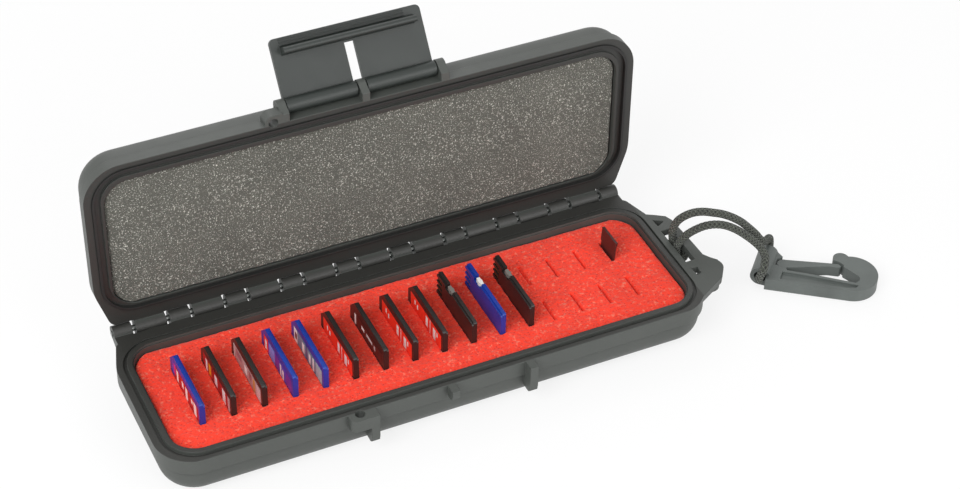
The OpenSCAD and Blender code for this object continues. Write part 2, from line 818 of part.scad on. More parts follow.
// Points on a smooth curve through the route, a few to each of its stretches
function curve(p, i, t) =
    let (a = p[max(i - 1, 0)], b = p[i], c = p[i + 1], d = p[min(i + 2, len(p) - 1)])
    0.5 * (2 * b + (c - a) * t + (2 * a - 5 * b + 4 * c - d) * t * t
        + (3 * b - a - 3 * c + d) * t * t * t);
function smooth(p, n) = concat(
    [for (i = [0:len(p) - 2], k = [0:n - 1]) curve(p, i, k / n)], [p[len(p) - 1]]);
function heading(p, i) = unit(p[min(i + 1, len(p) - 1)] - p[max(i - 1, 0)]);
function carried(v, t) = unit(v - t * (v * t));
function frames(p, i, v) =
    let (w = carried(v, heading(p, i)))
    i == len(p) - 1 ? [w] : concat([w], frames(p, i + 1, w));

// A round tube of the given number of sides along the points
module tube(p, d, sides) {
    ups = frames(p, 0, [1, 0, 0]);
    rings = [for (i = [0:len(p) - 1], k = [0:sides - 1])
        let (t = heading(p, i), a = 360 * k / sides)
        p[i] + d / 2 * (cos(a) * ups[i] + sin(a) * cross(t, ups[i]))];
    last = sides * (len(p) - 1);
    polyhedron(rings, concat(
        [[for (k = [0:sides - 1]) k]],
        [for (i = [0:len(p) - 2], k = [0:sides - 1]) each
            let (a = i * sides + k, b = i * sides + (k + 1) % sides)
            [[a, a + sides, b + sides], [a, b + sides, b]]],
        [[for (k = [sides - 1:-1:0]) last + k]]));
}

module lanyard_cord() {
    color(CORD)
        translate([half_len, 0, 0])
            tube(smooth(cord_route, 2), cord_d, 8);
}

knot_at = [half_len + 4.4, 3.6, base_h - cord_ear_t - 0.3 - knot_r];

module lanyard_knot() {
    color(CORD)
        difference() {
            translate(knot_at)
                sphere(knot_r);
            for (y = [cord_route[0].y, cord_route[len(cord_route) - 1].y])
                translate([half_len + cord_route[0].x, y, cord_route[0].z - 0.1])
                    cylinder(r = cord_d / 2 + 0.15, h = 3);
        }
}

// Snap hook, drawn with its eye at the origin and its nose along +X

module at_hook() {
    translate([half_len + hook_x, hook_y, 0])
        rotate([0, 0, hook_turn])
            children();
}

gate_pivot = [7.4, 0.6];
gate_root_r = 2.6;
gate_room = 0.3;             // round the gate's root
bend_v = 3.3;
border = 1.4;                // raised border round the shallow panels
panel_d = 1.1;

module hook_plan() {
    difference() {
        union() {
            translate([bend_u, bend_v])
                circle(bend_r);
            polygon([[2.5, bend_v - bend_r - 4.2], [bend_u + 1.4, bend_v - bend_r + 0.1],
                [bend_u, 0], [18.9, -2.4], [9.6, -3.2], [8.6, -1.4], [2.5, -1.4]]);
            translate([bend_u - 6, bend_v + bend_r - 2.6])
                circle(3.2);
        }
        // the mouth that the gate closes, and the gate's seat under the nose
        polygon([[18.9, -2.4], [bend_u + 2.5, -1.6], [bend_u + 3.7, 0.4], [bend_u + 3.1, 2.4],
            [bend_u - 0.8, 4.6], [bend_u - 3.9, 6.2], [bend_u - 4.1, 7.3], [bend_u - 5.7, 8.4],
            [bend_u - 8.3, 9], [bend_u - 9.7, 9.1], [bend_u - 10.9, 22], [10, 22], [10, -2]]);
    }
}

module snap_hook_body() {
    color(HOOK)
        at_hook() {
            difference() {
                translate([0, 0, hook_z])
                    linear_extrude(hook_t)
                        hook_plan();
                // shallow panels that leave a raised border
                for (z = [hook_z - 1, hook_z + hook_t - panel_d])
                    translate([0, 0, z])
                        linear_extrude(1 + panel_d)
                            polygon([[8, bend_v - bend_r - 3.5 + border],
                                [bend_u, bend_v - bend_r + border], [bend_u + 3.2, -4.4],
                                [bend_u + 3.9, -2.8], [18.9, -3.6], [8, -4.6]]);
                translate([gate_pivot.x, gate_pivot.y, hook_z - 1])
                    cylinder(r = gate_root_r + gate_room, h = hook_t + 2);
            }
            difference() {
                union() {
                    translate([0, 0, eye_z])
                        rotate([90, 0, 0])
                            translate([0, 0, -eye_far])
                                cylinder(r = eye_r, h = eye_len);
                    translate([0, -eye_near, hook_z])
                        cube([3.6, eye_len, hook_t]);
                    translate([0, 0, hook_z])
                        linear_extrude(hook_t)
                            polygon([[2, eye_far - 0.4], [3.9, eye_far - 0.4], [6.2, 4.2],
                                [4.4, 2.4], [4.2, -9], [2, -9]]);
                }
                translate([0, 0, eye_z])
                    rotate([90, 0, 0])
                        translate([0, 0, -eye_len])
                            cylinder(r = eye_r - 1.6, h = 2 * eye_len);
                translate([gate_pivot.x, gate_pivot.y, hook_z - 1])
                    cylinder(r = gate_root_r + gate_room, h = hook_t + 2);
            }
        }
}

module snap_gate() {
    t = hook_t - 0.8;
    flat = gate_root_r - 0.05;
    color(HOOK)
        at_hook()
            translate([0, 0, hook_z + 0.4]) {
                translate(gate_pivot)
                    cylinder(r = gate_root_r, h = t);
                linear_extrude(t)
                    polygon([gate_pivot, [gate_pivot.x, gate_pivot.y + flat],
                        [bend_u - 9.9, 6.9], [bend_u - 6.1, 7.6], [bend_u - 4.9, 6.6],
                        [bend_u - 5.5, 5.6], [bend_u - 9.9, 4.9], [gate_pivot.x, gate_pivot.y - flat]]);
            }
}

base_shell();
lid_shell();
lid_gasket();
hinge_pin();
latch();
latch_pin();
card_foam();
lid_foam();
micro_sd_card();
for (i = [1:card_count])
    sd_card(i);
for (i = [1:card_count])
    lock_tab(i);
lanyard_cord();
lanyard_knot();
snap_hook_body();
snap_gate();
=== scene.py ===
"""Looks of the memory card case: finishes, soft pieces, card details, cord and studio."""

import json
import logging
import math
from dataclasses import dataclass, field
from enum import Enum

import bmesh
import bpy
import numpy as np
from mathutils import Matrix, Vector

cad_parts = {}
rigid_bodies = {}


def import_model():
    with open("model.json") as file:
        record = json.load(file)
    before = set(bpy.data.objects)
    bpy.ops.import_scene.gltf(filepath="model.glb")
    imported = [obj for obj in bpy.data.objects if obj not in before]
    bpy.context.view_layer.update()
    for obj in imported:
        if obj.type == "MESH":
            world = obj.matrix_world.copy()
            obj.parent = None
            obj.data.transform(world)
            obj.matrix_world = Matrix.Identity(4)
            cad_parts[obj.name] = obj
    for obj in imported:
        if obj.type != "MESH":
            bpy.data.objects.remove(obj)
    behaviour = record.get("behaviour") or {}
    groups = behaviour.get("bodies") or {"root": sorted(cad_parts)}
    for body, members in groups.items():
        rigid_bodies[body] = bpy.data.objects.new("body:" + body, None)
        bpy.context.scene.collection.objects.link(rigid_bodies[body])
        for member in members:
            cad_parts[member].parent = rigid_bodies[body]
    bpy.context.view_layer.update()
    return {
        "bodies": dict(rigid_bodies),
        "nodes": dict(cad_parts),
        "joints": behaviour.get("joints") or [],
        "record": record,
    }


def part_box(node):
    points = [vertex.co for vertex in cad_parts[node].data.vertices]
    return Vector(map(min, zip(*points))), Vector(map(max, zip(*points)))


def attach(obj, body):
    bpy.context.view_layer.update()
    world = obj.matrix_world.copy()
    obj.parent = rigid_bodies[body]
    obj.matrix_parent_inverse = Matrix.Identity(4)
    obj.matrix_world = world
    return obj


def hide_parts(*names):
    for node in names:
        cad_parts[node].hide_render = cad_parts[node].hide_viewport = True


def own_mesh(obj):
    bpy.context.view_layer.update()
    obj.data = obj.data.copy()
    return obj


log = logging.getLogger("card_case")
MM = 0.001
Colour = tuple[float, float, float]
Direction = tuple[float, float, float]
Array = np.ndarray
Socket = bpy.types.NodeSocket
# Large odd numbers that scatter the corners of value_noise's lattice
HASH_X, HASH_Y, HASH_SEED, HASH_MIX = 374761393, 668265263, 2246822519, 1274126177
# The span that holds most heights of a noise node
NOISE_LOW, NOISE_HIGH = 0.3, 0.7


def linear(colour: Colour) -> tuple[float, float, float, float]:
    """Turn a display colour into the linear one that shaders take.

    Args:
        colour: red, green and blue from 0 to 1, as seen on a screen.

    Returns:
        The linear colour with an alpha of 1.
    """
    return (*[c / 12.92 if c <= 0.04045 else ((c + 0.055) / 1.055) ** 2.4 for c in colour], 1.0)


def unit(v: Array) -> Array:
    """Return vectors scaled to a length of 1 along the last axis."""
    return v / np.linalg.norm(v, axis=-1, keepdims=True)


def turned_about_x(points: Array, pivot: Array, degrees: float) -> Array:
    """Turn points about an axis along X through a pivot.

    Args:
        points: an array of points, in metres.
        pivot: a point on the axis.
        degrees: the angle, positive from Y towards Z.

    Returns:
        The turned points.
    """
    a = math.radians(degrees)
    turn = np.array([[1, 0, 0], [0, math.cos(a), -math.sin(a)], [0, math.sin(a), math.cos(a)]])
    return (points - pivot) @ turn.T + pivot


def value_noise(points: Array, pitch: float, seed: int) -> Array:
    """Smooth noise from -1 to 1 on a lattice of the given pitch.

    Lattice corners get hashed values, which are blended by a smooth step along X and Y.

    Args:
        points: an array of points of at least two coordinates, in metres.
        pitch: the size of a lattice cell, in metres.
        seed: which of the noises to take.

    Returns:
        One value for each point.
    """
    p = points[..., :2] / pitch
    cell = np.floor(p).astype(np.int64)
    f = p - cell
    f = f * f * (3 - 2 * f)

    def corner(dx: int, dy: int) -> Array:
        """Hash one corner of each point's cell.

        Args:
            dx: 0 for the cell's low X, 1 for its high X.
            dy: the same along Y.

        Returns:
            A value from -1 to 1 for each point.
        """
        h = (cell[..., 0] + dx) * HASH_X + (cell[..., 1] + dy) * HASH_Y + seed * HASH_SEED
        h = (h ^ (h >> 13)) * HASH_MIX
        return ((h ^ (h >> 16)) & 0xFFFF) / 32767.5 - 1

    low = corner(0, 0) * (1 - f[..., 0]) + corner(1, 0) * f[..., 0]
    high = corner(0, 1) * (1 - f[..., 0]) + corner(1, 1) * f[..., 0]
    return low * (1 - f[..., 1]) + high * f[..., 1]


def mesh_piece(name: str, points: Array, faces: list | Array, smooth: bool = True) -> bpy.types.Object:
    """Put points and faces into a new object at the origin.

    Args:
        name: the piece's name.
        points: the vertices, in metres.
        faces: rows of vertex numbers, of three, four or more each.
        smooth: whether the faces are shaded smooth.

    Returns:
        The new object, linked into the scene.
    """
    mesh = bpy.data.meshes.new(name)
    rows = faces.tolist() if isinstance(faces, np.ndarray) else faces
    mesh.from_pydata(np.asarray(points, float).reshape(-1, 3).tolist(), [], rows)
    mesh.polygons.foreach_set("use_smooth", np.full(len(mesh.polygons), smooth))
    mesh.update()
    piece = bpy.data.objects.new(name, mesh)
    bpy.context.scene.collection.objects.link(piece)
    return piece


def grid_faces(rows: int, columns: int) -> Array:
    """Quads over a grid of vertices numbered row by row.

    Args:
        rows: the number of rows of vertices.
        columns: the number of vertices in each row.

    Returns:
        An array of four vertex numbers for each quad.
    """
    i, j = np.meshgrid(np.arange(rows - 1), np.arange(columns - 1), indexing="ij")
    first = i * columns + j
    return np.stack([first, first + 1, first + columns + 1, first + columns], -1).reshape(-1, 4)


def set_uv(piece: bpy.types.Object, uv: Array) -> None:
    """Give a mesh a UV map from one coordinate pair for each vertex.

    Args:
        piece: the object to map.
        uv: the pairs, in the order of the vertices.
    """
    layer = piece.data.uv_layers.new(name="lay")
    corner = np.zeros(len(piece.data.loops), np.int32)
    piece.data.loops.foreach_get("vertex_index", corner)
    layer.data.foreach_set("uv", uv.reshape(-1, 2)[corner].astype(np.float32).ravel())


def carried_frames(path: Array) -> tuple[Array, Array]:
    """Two directions square to a path and to each other, which turn no more than the path does.

    At each point the last direction loses its part along the new heading, and the other direction
    is square to both.

    Args:
        path: the points of the path.

    Returns:
        The two directions at each point.
    """
    heading = unit(np.gradient(path, axis=0))
    up = np.zeros_like(path)
    side = np.array([1.0, 0.0, 0.0]) if abs(heading[0][0]) < 0.9 else np.array([0.0, 1.0, 0.0])
    for i, t in enumerate(heading):
        side = side - t * (side @ t)
        side = side / np.linalg.norm(side)
        up[i] = side
    return up, np.cross(heading, up)


def smooth_curve(points: Array, steps: int) -> Array:
    """Points on a smooth curve through the given ones.

    Each stretch is a cubic whose slope at either end is half the step between the neighbours of
    that end.

    Args:
        points: the points that the curve passes through.
        steps: how many pieces each stretch is cut into.

    Returns:
        The points along the curve, ends included.
    """
    p = np.vstack([points[:1], points, points[-1:]])
    t = (np.arange(steps) / steps)[:, None]
    parts = [
        0.5 * (2 * b + (c - a) * t + (2 * a - 5 * b + 4 * c - d) * t**2 + (3 * b - a - 3 * c + d) * t**3)
        for a, b, c, d in zip(p[:-3], p[1:-2], p[2:-1], p[3:])
    ]
    return np.vstack([*parts, points[-1:]])


class Recipe:
    """A material's node tree, with short calls for the nodes that the finishes share."""

    def __init__(self, name: str) -> None:
        """Make a material that holds only its main shader.

        Args:
            name: the material's name.
        """
        self.material = bpy.data.materials.new(name)
        self.material.use_nodes = True
        self.tree = self.material.node_tree
        self.shader = next(n for n in self.tree.nodes if n.type == "BSDF_PRINCIPLED")

    def node(self, kind: str, **values: object) -> bpy.types.Node:
        """Add a node.

        Args:
            kind: the program's name for the node.
            **values: properties of the node, by name.

        Returns:
            The new node.
        """
        made = self.tree.nodes.new(kind)
        for key, value in values.items():
            setattr(made, key, value)
        return made

    def link(self, source: Socket, target: Socket) -> None:
        """Join two sockets."""
        self.tree.links.new(source, target)

    def place(self, which: str = "Object") -> Socket:
        """Return the coordinates of the given kind."""
        return self.node("ShaderNodeTexCoord").outputs[which]

    def noise(self, at: Socket, scale: float, detail: float = 3, rough: float = 0.5) -> Socket:
        """Add a cloudy noise.

        Args:
            at: the coordinates that it follows.
            scale: how many of its clouds there are in a metre.
            detail: how many finer noises are laid over it.
            rough: how strong these are.

        Returns:
            Its height, about 0.5.
        """
        made = self.node("ShaderNodeTexNoise")
        made.inputs["Scale"].default_value = scale
        made.inputs["Detail"].default_value = detail
        made.inputs["Roughness"].default_value = rough
        self.link(at, made.inputs["Vector"])
        return made.outputs["Fac"]

    def cells(self, at: Socket, scale: float) -> Socket:
        """Add a pattern of closely packed cells.

        Args:
            at: the coordinates that it follows.
            scale: how many cells there are in a metre.

        Returns:
            The distance to the nearest cell's middle.
        """
        made = self.node("ShaderNodeTexVoronoi", feature="F1")
        made.inputs["Scale"].default_value = scale
        self.link(at, made.inputs["Vector"])
        return made.outputs["Distance"]

    def ramp(self, fac: Socket, stops: list[tuple[float, Colour]]) -> Socket:
        """Pick a colour by a height.

        Args:
            fac: the height.
            stops: heights in rising order, each with its display colour.

        Returns:
            The colour, blended between the stops.
        """
        made = self.node("ShaderNodeValToRGB")
        ramp = made.color_ramp
        while len(ramp.elements) < len(stops):
            ramp.elements.new(0.5)
        for element, (where, colour) in zip(ramp.elements, stops):
            element.position = where
            element.color = linear(colour)
        self.link(fac, made.inputs["Fac"])
        return made.outputs["Color"]

    def uneven(self, at: Socket, scale: float, detail: float, to: tuple[float, float]) -> Socket:
        """Return a noise of the given scale whose usual values fill a span."""
        return self.spread(self.noise(at, scale, detail), NOISE_LOW, NOISE_HIGH, to)

    def spread(self, fac: Socket, low: float, high: float, to: tuple[float, float]) -> Socket:
        """Stretch a height from one span to another, and hold it there.

        Args:
            fac: the height.
            low: the height that becomes the new span's first end.
            high: the height that becomes its last end.
            to: the new span.

        Returns:
            The stretched height.
        """
        made = self.node("ShaderNodeMapRange")
        for name, value in zip(("From Min", "From Max", "To Min", "To Max"), (low, high, *to)):
            made.inputs[name].default_value = value
        self.link(fac, made.inputs["Value"])
        return made.outputs["Result"]

    def mixed(self, fac: Socket | float, a: Socket | Colour, b: Socket | Colour,
              blend: str = "MIX") -> Socket:
        """Mix two colours, each a socket or a display colour.

        Args:
            fac: how much of the second there is.
            a: the first colour.
            b: the second colour.
            blend: the program's name for the way of mixing.

        Returns:
            The mixed colour.
        """
        made = self.node("ShaderNodeMix", data_type="RGBA", blend_type=blend)
        for socket, value in ((made.inputs[0], fac), (made.inputs[6], a), (made.inputs[7], b)):
            if isinstance(value, float):
                socket.default_value = value
            elif isinstance(value, tuple):
                socket.default_value = linear(value)
            else:
                self.link(value, socket)
        return made.outputs[2]

    def along(self, vector: Socket, direction: Direction) -> Socket:
        """Work out how far a vector reaches in a direction.

        Args:
            vector: the vector.
            direction: the direction, of length 1.

        Returns:
            The reach, negative the other way.
        """
        made = self.node("ShaderNodeVectorMath", operation="DOT_PRODUCT")
        self.link(vector, made.inputs[0])
        made.inputs[1].default_value = direction
        return made.outputs["Value"]

    def maths(self, operation: str, a: Socket, b: Socket | float) -> Socket:
        """Work out a sum.

        Args:
            operation: the program's name for the kind of sum.
            a: its first term.
            b: its second term.

        Returns:
            The result.
        """
        made = self.node("ShaderNodeMath", operation=operation)
        self.link(a, made.inputs[0])
        if isinstance(b, (int, float)):
            made.inputs[1].default_value = b
        else:
            self.link(b, made.inputs[1])
        return made.outputs[0]

    def bumps(self, *layers: tuple[Socket, float, float], edge: float = 0.0) -> None:
        """Stack heights into the shader's normal, over softened edges if an edge radius is given.

        Args:
            *layers: a height, its strength and its distance in metres, for each layer.
            edge: the radius of the softened edges, in metres.
        """
        normal = None
        if edge:
            bevel = self.node("ShaderNodeBevel", samples=4)
            bevel.inputs["Radius"].default_value = edge
            normal = bevel.outputs["Normal"]
        for height, strength, distance in layers:
            bump = self.node("ShaderNodeBump")
            bump.inputs["Strength"].default_value = strength
            bump.inputs["Distance"].default_value = distance
            self.link(height, bump.inputs["Height"])
            if normal is not None:
                self.link(normal, bump.inputs["Normal"])
            normal = bump.outputs["Normal"]
        self.link(normal, self.shader.inputs["Normal"])

    def set(self, **values: object) -> None:
        """Set constant values on the shader's own sockets, with _ for a space."""
        for key, value in values.items():
            self.shader.inputs[key.replace("_", " ")].default_value = value


@dataclass(frozen=True)
class RimShade:
    """Painted shade: the faces that meet when the case is shut are painted darker where they look along
    facing.

    Each limit is a direction and the least reach along it, in metres, where the rim begins.
    """

    colour: Colour
    facing: Direction
    limits: tuple[tuple[Direction, float], ...]
    turned: tuple[float, float] = (0.05, 0.5)
    fade: float = 0.4 * MM

    def share(self, r: Recipe) -> Socket:
        """Work out where the painted rim shade shows.

        The share is how squarely a face looks along facing, times a short fade past each limit.

        Args:
            r: the recipe to add nodes to.

        Returns:
            A height that is 1 on the rim's faces and 0 elsewhere.
        """
        share = r.spread(r.along(r.place("Normal"), self.facing), *self.turned, (0.0, 1.0))
        for direction, least in self.limits:
            past = r.spread(r.along(r.place(), direction), least, least + self.fade, (0.0, 1.0))
            share = r.maths("MULTIPLY", share, past)
        return share


@dataclass(frozen=True)
class MouldedPlastic:
    """Moulded plastic with a fine grain, a slow change of tone and softened edges."""

    name: str
    colour: Colour
    roughness: float = 0.5
    grain: float = 2200.0
    grain_depth: float = 0.25
    tone: float = 0.08
    edge: float = 0.35 * MM
    # painted shade for the rim faces; None leaves the plastic even
    rim: RimShade | None = None
    blotch: float = 38.0
    smear: float = 160.0
    smoother: float = 0.02
    rougher: float = 0.04
    grain_height: float = 0.2 * MM

    def make(self) -> bpy.types.Material:
        """Build the plastic: slow blotches pick its tone, and fine grain lies over its edges.

        Returns:
            The finished material.
        """
        r = Recipe(self.name)
        at = r.place()
        slow = r.noise(at, self.blotch, detail=4, rough=0.6)
        light = tuple(min(1.0, c * (1 + self.tone)) for c in self.colour)
        dark = tuple(c * (1 - self.tone) for c in self.colour)
        colour = r.ramp(slow, [(NOISE_LOW, dark), (NOISE_HIGH, light)])
        # painted shade: the faces that the rim's share picks get its darker colour
        if self.rim:
            colour = r.mixed(self.rim.share(r), colour, self.rim.colour)
        r.link(colour, r.shader.inputs["Base Color"])
        fine = r.noise(at, self.grain, detail=2, rough=0.6)
        span = (self.roughness - self.smoother, self.roughness + self.rougher)
        r.link(r.uneven(at, self.smear, 3, span), r.shader.inputs["Roughness"])
        r.bumps((fine, self.grain_depth, self.grain_height), edge=self.edge)
        return r.material


@dataclass(frozen=True)
class OpenFoam:
    """Open-cell foam: torn cells, with painted shade in the pores and painted highlights on the cell edges.
    """

    name: str
    colour: Colour
    pore_shade: Colour
    strut_highlight: Colour
    cell: float = 900.0
    highlight_strength: float = 0.5
    blotch: float = 45.0
    lump_share: float = 0.35
    fleck_share: float = 0.8
    pore_height: float = 0.5 * MM
    lump_height: float = 0.6 * MM

    def make(self) -> bpy.types.Material:
        """Build the foam: the painted shade of the pores in the middle of each cell, flecks of painted
        highlight on the cell edges, and lumps below.

        Returns:
            The finished material.
        """
        r = Recipe(self.name)
        at = r.place()
        pores = r.cells(at, self.cell)
        tone = r.noise(at, self.blotch, detail=4, rough=0.6)
        coarse = r.noise(at, self.cell * self.lump_share, detail=3, rough=0.7)
        # painted shade: the middle of each cell takes the darker colour of the pores
        body = r.ramp(pores, [(0.0, self.pore_shade), (0.34, self.colour), (0.8, self.colour)])
        # painted highlights: noisy flecks take the lighter colour of the cell edges
        specks = r.noise(at, self.cell * self.fleck_share, detail=2, rough=0.7)
        flecks = r.spread(specks, 0.56, 0.7, (0.0, self.highlight_strength))
        speckled = r.mixed(flecks, body, self.strut_highlight)
        shade = r.ramp(tone, [(NOISE_LOW, (0.9, 0.9, 0.9)), (NOISE_HIGH, (1.0, 1.0, 1.0))])
        r.link(r.mixed(1.0, speckled, shade, "MULTIPLY"), r.shader.inputs["Base Color"])
        r.set(Roughness=0.95, Sheen_Weight=0.15, Sheen_Roughness=0.6, Specular_IOR_Level=0.15)
        r.bumps((pores, 0.7, self.pore_height), (coarse, 0.5, self.lump_height))
        return r.material


@dataclass(frozen=True)
class BrightSteel:
    """Drawn steel wire, duller in patches and finely scratched."""

    name: str
    colour: Colour
    dull: Colour = (0.4, 0.41, 0.4)
    roughness: tuple[float, float] = (0.26, 0.42)
    patch: float = 90.0
    smear: float = 500.0
    scratch: float = 2600.0

    def make(self) -> bpy.types.Material:
        """Build the steel: slow patches are duller, and finer ones rougher.

        Returns:
            The finished material.
        """
        r = Recipe(self.name)
        at = r.place()
        r.link(r.mixed(r.noise(at, self.patch), self.colour, self.dull), r.shader.inputs["Base Color"])
        r.set(Metallic=1.0)
        r.link(r.uneven(at, self.smear, 2, self.roughness), r.shader.inputs["Roughness"])
        r.bumps((r.noise(at, self.scratch, detail=2), 0.06, 0.1 * MM))
        return r.material


@dataclass(frozen=True)
class Braid:
    """Round braided cord: two sets of strands that cross, with painted shade between them, and flecked on
    top.
    """

    name: str
    colour: Colour
    fleck: Colour
    turns: float = 6.0
    pitch: float = 1.6 * MM
    # share of the cord's colour that is kept as painted shade between the strands
    gap_shade: float = 0.12
    mottled: float = 700.0

    def make(self) -> bpy.types.Material:
        """Build the braid: two sine waves run round the cord in opposite ways, the higher on top.

        Returns:
            The finished material, which reads a UV map of turns by metres.
        """
        r = Recipe(self.name)
        split = r.node("ShaderNodeSeparateXYZ")
        r.link(r.place("UV"), split.inputs[0])
        around = r.maths("MULTIPLY", split.outputs[0], self.turns * math.tau)
        along = r.maths("MULTIPLY", split.outputs[1], math.tau / self.pitch)
        left = r.maths("SINE", r.maths("ADD", around, along), 0)
        right = r.maths("SINE", r.maths("SUBTRACT", around, along), 0)
        height = r.maths("MAXIMUM", left, right)
        crossing = r.maths("MULTIPLY", left, right)
        mottle = r.noise(r.place(), self.mottled, detail=3, rough=0.7)
        on_top, patchy = r.spread(crossing, 0.3, 0.9, (0, 1)), r.spread(mottle, 0.42, 0.6, (0, 1))
        spots = r.maths("MULTIPLY", on_top, patchy)
        # painted shade: the low parts between the strands get a darkened copy of the cord's colour
        gap_shade_colour = tuple(c * self.gap_shade for c in self.colour)
        ground = r.ramp(height, [(0.25, gap_shade_colour), (0.75, self.colour)])
        r.link(r.mixed(spots, ground, self.fleck), r.shader.inputs["Base Color"])
        r.set(Roughness=0.8, Sheen_Weight=0.2, Sheen_Roughness=0.5)
        r.bumps((height, 0.8, 0.4 * MM), (mottle, 0.3, 0.2 * MM))
        return r.material


@dataclass(frozen=True)
class PrintedLabel:
    """A printed sticker whose colours are stored on its faces, under a thin clear coat."""

    name: str
    fibres: float = 900.0

    def make(self) -> bpy.types.Material:
        """Build the sticker: its print, a little darker between the fibres of its paper.

        Returns:
            The finished material, which reads the attribute named ink.
        """
        r = Recipe(self.name)
        ink = r.node("ShaderNodeAttribute", attribute_name="ink")
        fibre = r.noise(r.place(), self.fibres)
        shade = r.ramp(fibre, [(NOISE_LOW, (0.93, 0.93, 0.93)), (NOISE_HIGH, (1.0, 1.0, 1.0))])
        r.link(r.mixed(1.0, ink.outputs["Color"], shade, "MULTIPLY"), r.shader.inputs["Base Color"])
        r.set(Roughness=0.38, Coat_Weight=0.25, Coat_Roughness=0.2)
        r.bumps((fibre, 0.08, 0.1 * MM))
        return r.material


@dataclass(frozen=True)
class GoldPlate:
    """Thin gold plate, worn in patches."""

    name: str
    colour: Colour = (0.83, 0.68, 0.36)
    worn: Colour = (0.7, 0.55, 0.28)
    roughness: tuple[float, float] = (0.2, 0.4)
    patch: float = 400.0
    smear: float = 1500.0

    def make(self) -> bpy.types.Material:
        """Build the gold: patches are worn darker, and finer ones rougher.

        Returns:
            The finished material.
        """
        r = Recipe(self.name)
        at = r.place()
        r.link(r.mixed(r.noise(at, self.patch), self.colour, self.worn), r.shader.inputs["Base Color"])
        r.set(Metallic=1.0)
        r.link(r.uneven(at, self.smear, 2, self.roughness), r.shader.inputs["Roughness"])
        return r.material


Finish = MouldedPlastic | OpenFoam | BrightSteel | Braid | PrintedLabel | GoldPlate
# The first colour is painted shade for the shells' rim faces, the second the shells' own grey.
RIM_SHADE, SHELL_GREY = (0.17, 0.17, 0.16), (0.265, 0.277, 0.264)
FRONT_WALL_Y, EAR_FROM_X, LID_TOP_Z = -34.5, 107.2, 94.5
# Painted shade on the base's upward faces behind the front wall and short of the cord ear, and on the open
# lid's faces that look to the front, below its top.
BASE_RIM_SHADE = RimShade(RIM_SHADE, facing=(0.0, 0.0, 1.0), limits=(
    ((0.0, 1.0, 0.0), FRONT_WALL_Y * MM), ((-1.0, 0.0, 0.0), -EAR_FROM_X * MM)))
LID_RIM_SHADE = RimShade(RIM_SHADE, facing=(0.0, -1.0, 0.0), limits=(((0.0, 0.0, -1.0), -LID_TOP_Z * MM),))
BASE = MouldedPlastic("base_plastic", SHELL_GREY, roughness=0.46, grain=2600, grain_depth=0.3,
                      tone=0.035, rim=BASE_RIM_SHADE)
LID = MouldedPlastic("lid_plastic", SHELL_GREY, roughness=0.46, grain=2600, grain_depth=0.3,
                     tone=0.035, rim=LID_RIM_SHADE)
LATCH = MouldedPlastic("latch_plastic", (0.152, 0.17, 0.16), roughness=0.42, grain=2400,
                       grain_depth=0.2, tone=0.06)
HOOK = MouldedPlastic("hook_plastic", (0.34, 0.36, 0.35), roughness=0.45, grain=1900,
                      grain_depth=0.25, tone=0.1)
SEAL = MouldedPlastic("seal_rubber", (0.09, 0.09, 0.085), roughness=0.55, grain=1500,
                      grain_depth=0.2, tone=0.12, edge=0.2 * MM)
BLACK_CARD = MouldedPlastic("card_black", (0.13, 0.105, 0.1), roughness=0.36, grain=3000,
                            grain_depth=0.15, tone=0.1, edge=0.2 * MM)
BLUE_CARD = MouldedPlastic("card_blue", (0.06, 0.2, 0.57), roughness=0.36, grain=3000,
                           grain_depth=0.15, tone=0.08, edge=0.2 * MM)
GREY_TAB = MouldedPlastic("tab_grey", (0.45, 0.44, 0.42), roughness=0.45, grain=3000,
                          grain_depth=0.15, tone=0.08, edge=0.1 * MM)
WHITE_TAB = MouldedPlastic("tab_white", (0.88, 0.88, 0.87), roughness=0.45, grain=3000,
                           grain_depth=0.15, tone=0.03, edge=0.1 * MM)
SMALL_CARD = MouldedPlastic("micro_card_plastic", (0.24, 0.11, 0.10), roughness=0.4, grain=3000,
                            grain_depth=0.15, tone=0.1, edge=0.1 * MM)
# Each foam's darker colour is painted shade in its pores, and its lighter colour is painted highlight on its
# cell edges.
RED_FOAM = OpenFoam("red_foam", (1.0, 0.25, 0.16), pore_shade=(0.8, 0.07, 0.04), strut_highlight=(1.0, 0.52, 0.42),
                    cell=850, highlight_strength=0.75)
GREY_FOAM = OpenFoam("grey_foam", (0.35, 0.352, 0.322), pore_shade=(0.12, 0.12, 0.11),
                     strut_highlight=(0.86, 0.86, 0.82), cell=2200, highlight_strength=0.95)
STEEL = BrightSteel("steel_pin", (0.56, 0.57, 0.56))
BRAID = Braid("cord_braid", (0.26, 0.275, 0.24), fleck=(0.42, 0.45, 0.39))
LABEL = PrintedLabel("label_print")
GOLD = GoldPlate("contact_gold")


class Print(Enum):
    """The generic label designs."""

    RED_WHITE = "red_white"
    YELLOW_RED = "yellow_red"
    PALE = "pale"
    PURPLE = "purple"
    TEAL = "teal"
    RED = "red"
    DARK = "dark"
    PLAIN = "plain"


@dataclass(frozen=True)
class Design:
    """A label's ground, and blocks of (top, bottom, rear, front, colour) as shares of its shown part."""

    ground: Colour
    blocks: tuple[tuple[float, float, float, float, Colour], ...]


